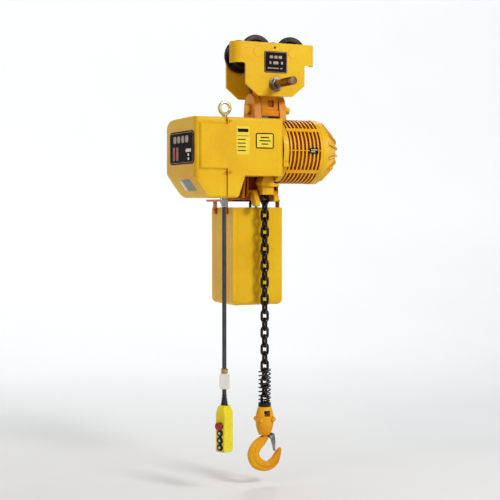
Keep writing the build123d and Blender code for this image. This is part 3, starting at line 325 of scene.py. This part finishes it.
softened = {
    0.3: ["trolley_rating_plate"],
    0.4: ["hook_latch", "end_nameplate"],
    0.5: ["cable_gland"],
    0.6: ["spring_seat"],
    0.8: ["motor_housing", "bucket_bracket", "cross_shaft_nuts", "suspension_pin_nut"],
    0.9: ["motor_end_cover"],
    1.0: ["trolley_front_plate", "trolley_rear_plate", "limit_lever", "wheel_front_left", "wheel_front_right",
          "wheel_rear_left", "wheel_rear_right"],
    1.2: ["gear_housing", "control_cover", "hook_block_front", "hook_block_rear"],
    1.5: ["suspension_bracket", "chain_guide", "lower_housing"],
    1.6: ["hanger_block", "centre_housing"],
}
for width, names in softened.items():
    for node in names:
        soften(node, width)


# --- meshes -------------------------------------------------------------------------------
def make_piece(name, points, faces, material, body, round_over=0.0, subdivide=0):
    """A piece from points in millimetres. round_over is a bevel's width, subdivide a number of levels."""
    mesh = bpy.data.meshes.new(name)
    mesh.from_pydata([Vector(p) * MM for p in points], [], faces)
    shape = bmesh.new()
    shape.from_mesh(mesh)
    bmesh.ops.remove_doubles(shape, verts=shape.verts, dist=1e-7)
    bmesh.ops.recalc_face_normals(shape, faces=shape.faces)
    shape.to_mesh(mesh)
    shape.free()
    mesh.shade_smooth()
    mesh.materials.append(material)
    piece = bpy.data.objects.new(name, mesh)
    bpy.context.scene.collection.objects.link(piece)
    if round_over:
        edges = piece.modifiers.new("edges", "BEVEL")
        edges.width = round_over * MM
        edges.segments = 2
        edges.limit_method = "ANGLE"
        edges.angle_limit = radians(35)
        edges.use_clamp_overlap = True
    if subdivide:
        piece.modifiers.new("smooth", "SUBSURF").levels = subdivide
        piece.modifiers["smooth"].render_levels = subdivide
    else:
        piece.modifiers.new("shading", "WEIGHTED_NORMAL")
    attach(piece, body)
    return piece


class Form:
    """Points and faces gathered from several simple shapes, to be made into one piece."""

    def __init__(self):
        self.points = []
        self.faces = []

    def rings(self, rings, caps=True, closed=False):
        """A skin over rings of equal length: caps closes both ends, closed joins the last to the first."""
        start, size = len(self.points), len(rings[0])
        for ring in rings:
            self.points.extend(Vector(p) for p in ring)
        count = len(rings)
        for r in range(count if closed else count - 1):
            a, b = start + r * size, start + (r + 1) % count * size
            for i in range(size):
                j = (i + 1) % size
                self.faces.append((a + i, a + j, b + j, b + i))
        if caps and not closed:
            self.faces.append(tuple(range(start, start + size))[::-1])
            self.faces.append(tuple(start + (count - 1) * size + i for i in range(size)))

    def lathe(self, place, profile, segments=40):
        """A profile of (radius, height) turned about the local Z axis of place."""
        rings = []
        for r, h in profile:
            turn = [2 * pi * i / segments for i in range(segments)]
            rings.append([place @ Vector((r * cos(a), r * sin(a), h)) for a in turn])
        self.rings(rings)

    def prism(self, place, outline, low, high):
        """An outline in the local XY plane of place, given thickness from low to high."""
        self.rings([[place @ Vector((x, y, h)) for x, y in outline] for h in (low, high)])


def axes(origin, x, z):
    """A placement in millimetres with its own x and z directions."""
    z = Vector(z).normalized()
    x = (Vector(x) - Vector(x).dot(z) * z).normalized()
    y = z.cross(x)
    place = Matrix((x, y, z)).transposed().to_4x4()
    place.translation = Vector(origin)
    return place


def rounded_bar(x, y, w, h, r, steps=4):
    """Outline of a rectangle with rounded corners, its centre at x, y."""
    outline = []
    for cx, cy, first in ((1, 1, 0), (-1, 1, 90), (-1, -1, 180), (1, -1, 270)):
        for i in range(steps + 1):
            a = radians(first + 90 * i / steps)
            outline.append((x + cx * (w / 2 - r) + r * cos(a), y + cy * (h / 2 - r) + r * sin(a)))
    return outline


def frame_band(form, place, w, h, r, band, low, high):
    """A flat border: a rounded rectangle with a smaller one taken out."""
    outer = rounded_bar(0, 0, w, h, r)
    inner = rounded_bar(0, 0, w - 2 * band, h - 2 * band, max(r - band, 0.3))
    loops = [(outer, low), (outer, high), (inner, high), (inner, low)]
    form.rings([[place @ Vector((x, y, z)) for x, y in loop] for loop, z in loops], closed=True)


def bars(name, place, rows, material, body, lift=0.25):
    """Plain raised bars, (x, y, width, height) each, standing where a plate has its print."""
    form = Form()
    for x, y, w, h in rows:
        form.prism(place, rounded_bar(x, y, w, h, min(w, h) * 0.3), 0, lift)
    return make_piece(name, form.points, form.faces, material, body)


# --- plates and marks ---------------------------------------------------------------------
def rating_plate():
    """Pale border and generic bars on the trolley's black plate."""
    low, high = box_mm("trolley_rating_plate")
    middle = (low + high) / 2
    face = low.y + 1.0
    place = axes((middle.x, face, middle.z), RIGHT, FRONT)
    form = Form()
    frame_band(form, place, high.x - low.x - 3, high.z - low.z - 3, 3.5, 0.9, 0, 0.25)
    make_piece("rating_plate_border", form.points, form.faces, label_faded, "trolley")
    bars("rating_plate_title", place, [(-14, 14, 10, 8), (0, 14, 10, 8), (14, 14, 10, 8)],
         label_faded, "trolley")
    bars("rating_plate_rows", place, [(-17, -2, 6, 8), (0, -2, 16, 8), (19, -2, 6, 8), (-8, -17, 34, 3),
                                      (17, -17, 8, 3)], label_faded, "trolley")


def end_plate():
    """The control end's black plate, with a border and generic bars on it."""
    low, high = box_mm("end_nameplate")
    middle = (low + high) / 2
    tilt = radians(3.23)    # the end face is set back a little towards the front
    place = axes(middle, (sin(tilt), -cos(tilt), 0), (-cos(tilt), -sin(tilt), 0))
    width, height = (high.y - low.y) / cos(tilt) - 1.2, high.z - low.z - 0.8
    form = Form()
    form.prism(place, rounded_bar(0, 0, width, height, 13, 8), -0.72, 0.35)
    sheet = make_piece("end_plate_sheet", form.points, form.faces, label_black, "hoist")
    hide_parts("end_nameplate")
    form = Form()
    frame_band(form, place, width - 7, height - 7, 9.5, 1.1, 0.3, 0.6)
    make_piece("end_plate_border", form.points, form.faces, label_faded, "hoist")
    bars("end_plate_title", place, [(-44, 23, 19, 19), (-18, 23, 19, 19), (8, 23, 19, 19), (34, 23, 19, 19)],
         label_faded, "hoist", lift=0.6)
    bars("end_plate_block", place, [(-50, -16, 14, 38), (-28, -16, 16, 38)], label_red, "hoist",
         lift=0.6)
    bars("end_plate_patch", place, [(44, -8, 34, 9), (44, -20, 9, 7), (44, -31, 9, 7)], label_pale, "hoist",
         lift=0.6)


def front_marks():
    """Two generic marks on the centre housing's front: a tall one in two fields, a low one with a rim."""
    low, _ = box_mm("centre_housing")
    mark_z = -212
    sheet, print_top = 0.4, 0.6
    tall = axes((-114, low.y, mark_z), RIGHT, FRONT)
    form = Form()
    form.prism(tall, rounded_bar(0, 0, 40, 78, 2), 0, sheet)
    make_piece("tall_mark_plate", form.points, form.faces, label_yellow, "hoist")
    form = Form()
    form.prism(tall, rounded_bar(0, 27, 32, 9, 1.2), sheet, print_top)
    form.prism(tall, rounded_bar(0, 12, 36, 1.2, 0.5), sheet, print_top)
    for y in (2, -8, -18, -28):
        form.prism(tall, rounded_bar(-4, y, 24, 2.6, 0.5), sheet, print_top)
    make_piece("tall_mark_print", form.points, form.faces, label_black, "hoist")
    wide = axes((-48, low.y, mark_z), RIGHT, FRONT)
    form = Form()
    form.prism(wide, rounded_bar(0, 0, 56, 44, 5), 0, sheet)
    make_piece("wide_mark_plate", form.points, form.faces, label_yellow, "hoist")
    form = Form()
    frame_band(form, wide, 55, 43, 4.5, 3.2, sheet, print_top)
    for y, w in ((9, 26), (0, 34), (-9, 20)):
        form.prism(wide, rounded_bar(0, y, w, 3.2, 0.6), sheet, print_top)
    make_piece("wide_mark_print", form.points, form.faces, label_black, "hoist")


def lower_window():
    """A grey window with a white strip, on the slanting face under the black plate."""
    slope = (-0.814, 0, -0.581)     # square to the slanting face
    face = axes((-238, -6, -334), FRONT, slope)
    form = Form()
    form.prism(face, rounded_bar(8, 0, 62, 38, 3), -1.0, 0.3)
    make_piece("lower_window", form.points, form.faces, window_grey, "hoist",
               round_over=0.2)
    bars("lower_window_strip", face, [(-34, -1, 15, 34)], label_pale, "hoist", lift=0.4)


def fin_plate():
    """A small dark plate across the motor's fins."""
    low, _ = box_mm("motor_housing")
    place = axes((110, low.y - 0.2, -236), RIGHT, FRONT)
    form = Form()
    form.prism(place, rounded_bar(0, 0, 27, 15, 1.5), -0.9, 0.3)
    make_piece("fin_plate", form.points, form.faces, label_black, "hoist")
    bars("fin_plate_rows", place, [(0, 3, 20, 2), (-3, -2.5, 14, 2)], label_pale, "hoist",
         lift=0.5)


rating_plate()
end_plate()
lower_window()
front_marks()
fin_plate()


# --- screws -------------------------------------------------------------------------------
def socket_screw(form, place, r, h):
    """A round head with a hexagon socket, standing on the XY plane of place."""
    count = 24
    turn = [2 * pi * i / count for i in range(count)]
    socket = r * 0.55
    rounding = 0.6

    def ring(radius, height):
        return [place @ Vector((radius * cos(a), radius * sin(a), height)) for a in turn]

    def hexagon(height):
        flats = [cos(pi / 6) / cos((a % (pi / 3)) - pi / 6) for a in turn]
        reach = [socket * f for f in flats]
        return [place @ Vector((d * cos(a), d * sin(a), height)) for a, d in zip(turn, reach)]

    form.rings([ring(r, 0), ring(r, h - rounding), ring(r - rounding, h), hexagon(h), hexagon(h * 0.35)])


def hoist_screws():
    """Socket screws on the covers and the hexagon bolts of the bucket's brackets."""
    form = Form()
    cover_screw_x = -152
    for y, outward, heights in ((-100, FRONT, (-160, -300)), (100, BACK, (-215, -300))):
        for z in heights:
            socket_screw(form, axes((cover_screw_x, y, z), RIGHT, outward), 4, 3)
    motor_z, screw_circle, rim_x = -235.5, 84, 152
    for angle in (40, 140, 220, 320):
        a = radians(angle)
        seat = (rim_x, screw_circle * cos(a), motor_z + screw_circle * sin(a))
        socket_screw(form, axes(seat, BACK, RIGHT), 4.5, 5)
    bolt_z, head_r, head_h = -405, 7, 5
    stem_r, stem_l = 4, 4
    hexagon = [(head_r * cos(k * pi / 3), head_r * sin(k * pi / 3)) for k in range(6)]
    for x, outward in ((-91, LEFT), (75, RIGHT)):
        for y in (72, 152):
            place = axes((x, y, bolt_z), BACK, outward)
            form.prism(place, hexagon, 0, head_h)
            form.lathe(place, [(stem_r, -stem_l), (stem_r, 0)], 24)
    piece = make_piece("hoist_screw_set", form.points, form.faces, paint_cast, "hoist",
                       round_over=0.4)
    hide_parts("hoist_screws")


hoist_screws()


# --- trolley details ----------------------------------------------------------------------
def trolley_details():
    """A small raised mark on the front plate, left of the cross shaft."""
    low, _ = box_mm("trolley_front_plate")
    form = Form()
    mark = axes((-37, low.y, -31), RIGHT, FRONT)
    form.prism(mark, rounded_bar(0, 0, 14, 7, 3.4, 6), -0.5, 0.8)
    make_piece("plate_castings", form.points, form.faces, paint_sheet, "trolley",
               round_over=0.25)


trolley_details()


# --- hook ---------------------------------------------------------------------------------
def smooth_path(points, steps):
    """Catmull-Rom points through a list of tuples of equal length."""
    path = []
    for i in range(len(points) - 1):
        p0, p1 = points[max(i - 1, 0)], points[i]
        p2, p3 = points[i + 1], points[min(i + 2, len(points) - 1)]
        for s in range(steps):
            t = s / steps
            row = []
            for a, b, c, d in zip(p0, p1, p2, p3):
                row.append(0.5 * (2 * b + (c - a) * t + (2 * a - 5 * b + 4 * c - d) * t**2
                                  + (3 * b - a - 3 * c + d) * t**3))
            path.append(tuple(row))
    path.append(points[-1])
    return path


# the hook's centre line from neck to tip: X, Z, half width in the plane, half thickness across it
HOOK_LINE = [
    (0, -1047.6, 8.9, 8.9), (0, -1056, 10.4, 9.4), (-10, -1066, 14.6, 10), (-26, -1080, 16.8, 10.8),
    (-36, -1102, 17.8, 11), (-25, -1127.5, 18.2, 11.3), (5.5, -1140, 14.3, 11.5), (29, -1129, 14.3, 11),
    (40.5, -1110, 10.8, 9), (47.5, -1096, 6.2, 6.5), (50, -1090, 2.6, 3.2),
]


def forged_hook():
    """A forged hook: rounded section, a shallow groove along each flank, a threaded shank, latch lugs."""
    line = smooth_path(HOOK_LINE, 6)
    count = 64
    groove_at, groove_reach, groove_depth = 0.25, 0.24, 2.6     # nearer the inner edge
    rings = []
    for n, (x, z, half_w, half_t) in enumerate(line):
        before, after = line[max(n - 1, 0)], line[min(n + 1, len(line) - 1)]
        along = Vector((after[0] - before[0], 0, after[1] - before[1])).normalized()
        if n == 0:
            along = Vector((0, 0, -1))
        across = Vector((0, 1, 0)).cross(along)
        share = n / (len(line) - 1)
        fade_in, fade_out = max(0.0, min(1.0, (share - 0.14) * 9)), max(0.0, min(1.0, (0.86 - share) * 8))
        groove = groove_depth * fade_in * fade_out
        ring = []
        for i in range(count):
            a = 2 * pi * i / count
            flank = half_t * sin(a)
            depth = groove * max(0.0, 1 - ((cos(a) - groove_at) / groove_reach) ** 2)
            flank -= depth * (1 if sin(a) > 0 else -1)
            ring.append(Vector((x, 0, z)) + across * half_w * cos(a) + Vector((0, 1, 0)) * flank)
        rings.append(ring)
    form = Form()
    form.rings(rings)
    shank = axes((0, 0, 0), RIGHT, UP)
    form.lathe(shank, [(8.9, -1049), (8.9, -1014), (6.9, -1014), (6.9, -1005), (6, -1004)], 32)
    for side in (-1, 1):
        place = axes((15, side * 4, -1054), RIGHT, (0, side, 0))
        form.lathe(place, [(5.4, -3.5), (5.4, 3.4), (4.8, 4)], 32)
    piece = make_piece("forged_hook", form.points, form.faces, paint_hook, "hook_body")
    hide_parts("hook")


forged_hook()


# --- pendant ------------------------------------------------------------------------------
CABLE_X, CABLE_Y = -144, -40
PENDANT_NORMAL = Vector((-0.8746, -0.4848, 0)).normalized()
PENDANT_MIDDLE = Vector((CABLE_X, CABLE_Y, -1011.5))
HALF_H, HALF_W, HALF_D = 65.5, 18.0, 20.0
STEM_R, WELL_R = 8.1, 8.4
# each button: piece, height above the handset's middle, radius, how far it stands proud
pendant = axes(PENDANT_MIDDLE, Vector((-PENDANT_NORMAL.y, PENDANT_NORMAL.x, 0)), PENDANT_NORMAL)
BUTTONS = [("stop_button", 9, 11.5, 11.0), ("button_up", -11, 8.2, 4.5),
           ("button_down", -31.5, 8.2, 4.5), ("button_travel", -51, 8.2, 4.5)]


def button_wells():
    """Closed cylinders, a little wider than the buttons' stems, where the buttons travel in the case."""
    form = Form()
    for _, up, _, _ in BUTTONS:
        form.lathe(pendant @ Matrix.Translation((0, up, HALF_D)), [(WELL_R, -13), (WELL_R, 6)], 48)
    return form


def cut_out(piece, form):
    """Takes a closed form out of a piece's mesh."""
    mesh = bpy.data.meshes.new("cutter")
    mesh.from_pydata([p * MM for p in form.points], [], form.faces)
    shape = bmesh.new()
    shape.from_mesh(mesh)
    bmesh.ops.recalc_face_normals(shape, faces=shape.faces)
    shape.to_mesh(mesh)
    shape.free()
    cutter = bpy.data.objects.new("cutter", mesh)
    plain = bpy.data.objects.new("uncut", piece.data)
    for item in (cutter, plain):
        bpy.context.scene.collection.objects.link(item)
    cut = plain.modifiers.new("cut", "BOOLEAN")
    cut.operation = "DIFFERENCE"
    cut.solver = "EXACT"
    cut.object = cutter
    evaluated = plain.evaluated_get(bpy.context.evaluated_depsgraph_get())
    piece.data = bpy.data.meshes.new_from_object(evaluated)
    for item in (cutter, plain):
        bpy.data.objects.remove(item)


def pendant_shell():
    """The handset's case: rounded section, narrower under the cable, ribbed on both sides, a seam."""
    count, levels = 64, 110
    squareness = 0.30
    rib_pitch, rib_depth, seam_half = 6.0, 0.9, 0.7
    rings = []
    for n in range(levels + 1):
        up = -HALF_H + 2 * HALF_H * n / levels
        near_end = min(up + HALF_H, HALF_H - up)
        round_off = 3.5 * max(0.0, 1 - near_end / 3.5) ** 2
        neck = max(0.0, (up - (HALF_H - 24)) / 24)
        half_w = HALF_W - 7 * neck - round_off
        half_d = HALF_D - 5 * neck**1.5 - round_off
        ring = []
        for i in range(count):
            a = 2 * pi * i / count
            x = half_w * abs(cos(a)) ** squareness * (1 if cos(a) >= 0 else -1)
            y = half_d * abs(sin(a)) ** squareness * (1 if sin(a) >= 0 else -1)
            side = max(0.0, min(1.0, (abs(x) / half_w - 0.8) * 5))
            if -56 < up < 22 and abs(y) < half_d * 0.8:
                rib = max(0.0, sin(up * 2 * pi / rib_pitch)) ** 2
                x -= (1 if x > 0 else -1) * rib_depth * side * rib
            if abs(y) < seam_half:
                x *= 0.975
            ring.append(pendant @ Vector((x, up, y)))
        rings.append(ring)
    form = Form()
    form.rings(rings)
    piece = make_piece("pendant_case", form.points, form.faces, pendant_yellow, "pendant")
    cut_out(piece, button_wells())
    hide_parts("pendant_front", "pendant_back")


def arch(half_w, low, high, steps=14):
    """Outline of a panel with a straight foot and an arched head."""
    outline = [(half_w, low + 3), (half_w - 3, low), (3 - half_w, low), (-half_w, low + 3)]
    for i in range(steps + 1):
        a = pi - pi * i / steps
        outline.append((half_w * cos(a), high - half_w + half_w * sin(a)))
    return outline


def pendant_face():
    """Raised arched panel with a rim round each button, and a plain cast mark above."""
    form = Form()
    outline = arch(14.5, -62, 30)
    levels = (HALF_D - 2.0, HALF_D - 0.1)
    form.rings([[pendant @ Vector((x, y, h)) for x, y in outline] for h in levels])
    panel = make_piece("pendant_panel", form.points, form.faces, pendant_yellow, "pendant",
                       round_over=0.8)
    cut_out(panel, button_wells())
    form = Form()
    rim = [(8.7, -1.5), (8.7, 0.6), (9.4, 1.0), (10.4, 0.9), (10.8, -0.6)]
    count = 44
    for _, up, _, _ in BUTTONS:
        loops = []
        for i in range(count):
            a = 2 * pi * i / count
            loops.append([pendant @ Vector((r * cos(a), up + r * sin(a), HALF_D + h)) for r, h in rim])
        form.rings(loops, closed=True)
    make_piece("pendant_button_rims", form.points, form.faces, button_black, "pendant")
    bars("pendant_mark", pendant @ Matrix.Translation((0, 0, HALF_D - 0.6)),
         [(-7, 40, 5, 8), (0, 40, 5, 8), (7, 40, 5, 8)], pendant_yellow, "pendant",
         lift=1.0)
    form = Form()
    for x in (-13, 13):
        place = pendant @ Matrix.Translation((x, -59.5, HALF_D - 0.6))
        socket_screw(form, place, 2.2, 1.2)
    make_piece("pendant_screws", form.points, form.faces, steel, "pendant")


def buttons():
    """Domed buttons on their stems: a wide red one to stop, three black ones with pale rings."""
    for name, up, r, proud in BUTTONS:
        place = pendant @ Matrix.Translation((0, up, HALF_D))
        stop = name == "stop_button"
        form = Form()
        if stop:
            profile = [(0, -7), (STEM_R, -7), (STEM_R, 5.0), (r - 1.2, 5.2), (r, 6.2), (r, 8.4),
                       (r - 1.0, 9.8), (r - 3.2, 10.6), (r - 7, 10.9), (0, proud)]
        else:
            profile = [(0, -7), (STEM_R, -7), (STEM_R, 3.2), (7.5, 4.1), (6.2, 4.4), (4.6, 3.9),
                       (2.2, 3.5), (0, 3.4)]
        form.lathe(place, profile, 44)
        material, slot = (button_red, "button_red") if stop else (button_black, "button_black")
        body = {"stop_button": "stop_button_body", "button_up": "up_button_body",
                "button_down": "down_button_body", "button_travel": "travel_button_body"}[name]
        piece = make_piece(name + "_cap", form.points, form.faces, material, body)
        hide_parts(name)
        if not stop:
            disc = Form()
            disc.lathe(place, [(0, 3.2), (3.4, 3.4), (3.4, 3.9), (2.8, 4.15), (0, 4.2)], 32)
            make_piece(name + "_dot", disc.points, disc.faces, label_pale, body)


def cable():
    """The straight pendant cable, its boot, and the clamp and tag on it."""
    heights = [-0.390, -0.46, -0.56, -0.68, -0.80, -0.90, -0.946]
    exit_point = Vector((CABLE_X * MM, CABLE_Y * MM, heights[0]))
    curve = bpy.data.curves.new("pendant_lead", "CURVE")
    curve.dimensions = "3D"
    curve.bevel_depth = 0.006
    curve.bevel_resolution = 6
    curve.use_fill_caps = True
    spline = curve.splines.new("NURBS")
    spline.points.add(len(heights) - 1)
    for point, z in zip(spline.points, heights):
        point.co = (exit_point.x, exit_point.y, z, 1)
    spline.order_u = 3
    spline.use_endpoint_u = True
    curve.resolution_u = 12
    curve.materials.append(cable_rubber)
    lead = bpy.data.objects.new("pendant_lead", curve)
    bpy.context.scene.collection.objects.link(lead)
    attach(lead, "pendant")
    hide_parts("pendant_cable")
    upright = axes((CABLE_X, CABLE_Y, 0), RIGHT, UP)
    form = Form()
    profile = [(0, -948), (10.5, -948), (10.5, -944)]
    ridges, ridge_pitch, taper = 6, 4.2, 0.6
    for n in range(ridges):
        z, r = -943 + n * ridge_pitch, 9.8 - n * taper
        profile += [(r - 1.2, z), (r - 1.2, z + 1.2), (r, z + 1.8), (r - 0.1, z + 3.6)]
    profile += [(6.6, -917.5), (6.05, -916)]
    form.lathe(upright, profile, 36)
    boot = make_piece("cable_boot", form.points, form.faces, button_black, "pendant")
    form = Form()
    form.lathe(upright, [(6.05, -857.5), (9.2, -857.5), (9.8, -856.8), (9.8, -852), (9.0, -851.4),
                         (9.0, -850), (9.8, -849.4), (9.8, -844.8), (9.2, -844.2), (6.05, -844.2)], 36)
    clamp = make_piece("cable_clamp", form.points, form.faces, bronze, "pendant")
    turn = radians(-20)
    turned = axes((CABLE_X, CABLE_Y, -879.5), (cos(turn), sin(turn), 0), (-sin(turn), cos(turn), 0))
    form = Form()
    outline = rounded_bar(0, 0, 29, 43, 4)
    form.rings([[turned @ Vector((x, y, h)) for x, y in outline] for h in (-7.9, -6.5)])
    tag = make_piece("cable_tag_card", form.points, form.faces, tag_plastic, "pendant",
                     round_over=0.3)
    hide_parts("cable_tag")


pendant_shell()
pendant_face()
buttons()
cable()


# --- stage --------------------------------------------------------------------------------
def floor():
    """A wide pale floor under the hook that curves up far behind, and glows a little there."""
    radius, back, low = 3.0, 2.5, cad_box[0][2] - 0.04
    steps = 24
    profile = [(-14, low), (back, low)]
    for n in range(1, steps + 1):
        a = pi / 2 * n / steps
        profile.append((back + radius * sin(a), low + radius - radius * cos(a)))
    profile.append((back + radius, low + 14))
    points = [(x, y, z) for y, z in profile for x in (-16, 16)]
    faces = [(2 * n, 2 * n + 1, 2 * n + 3, 2 * n + 2) for n in range(len(profile) - 1)]
    mesh = bpy.data.meshes.new("floor")
    mesh.from_pydata(points, [], faces)
    mesh.shade_smooth()
    material, tree, shader, coords = new_material("pale_floor")
    tone = ramp(tree, noise(tree, coords, 2.0), [(0.3, (0.72, 0.73, 0.74)), (0.7, (0.75, 0.76, 0.77))])
    tree.links.new(tone, shader.inputs["Base Color"])
    shader.inputs["Roughness"].default_value = 0.8
    split = tree.nodes.new("ShaderNodeSeparateXYZ")
    tree.links.new(coords, split.inputs["Vector"])
    tree.links.new(spread(tree, split.outputs["Y"], 0.06, 0.60, 0.2, 4.5), shader.inputs["Emission Strength"])
    shader.inputs["Emission Color"].default_value = (0.95, 0.98, 1.0, 1)
    mesh.materials.append(material)
    piece = bpy.data.objects.new("floor", mesh)
    bpy.context.scene.collection.objects.link(piece)


def area_light(name, place, target, size, power, color=(1, 1, 1)):
    """A round lamp: places and size in metres, power in watts."""
    light = bpy.data.lights.new(name, "AREA")
    light.shape = "DISK"
    light.size = size
    light.energy = power
    light.color = color
    aim(bpy.data.objects.new(name, light), place, target)


def lights():
    """A large key light high in front, a weak warm fill on the left, a rim light behind, a pale sky."""
    area_light("key", (1.2, -3.2, 1.6), (0, 0, -0.4), 1.3, 100)
    area_light("fill", (-3.2, -1.6, 1.4), (0, 0, -0.4), 1.2, 17, (1.0, 0.66, 0.34))
    area_light("rim", (1.6, 2.4, 2.2), (0, 0, -0.3), 1.6, 26)
    world = bpy.data.worlds.new("sky")
    world.use_nodes = True
    sky = world.node_tree.nodes["Background"]
    sky.inputs["Color"].default_value = (1.0, 0.98, 0.96, 1)
    sky.inputs["Strength"].default_value = 0.30
    bpy.context.scene.world = world
    bpy.context.scene.view_settings.view_transform = "Standard"


floor()
lights()
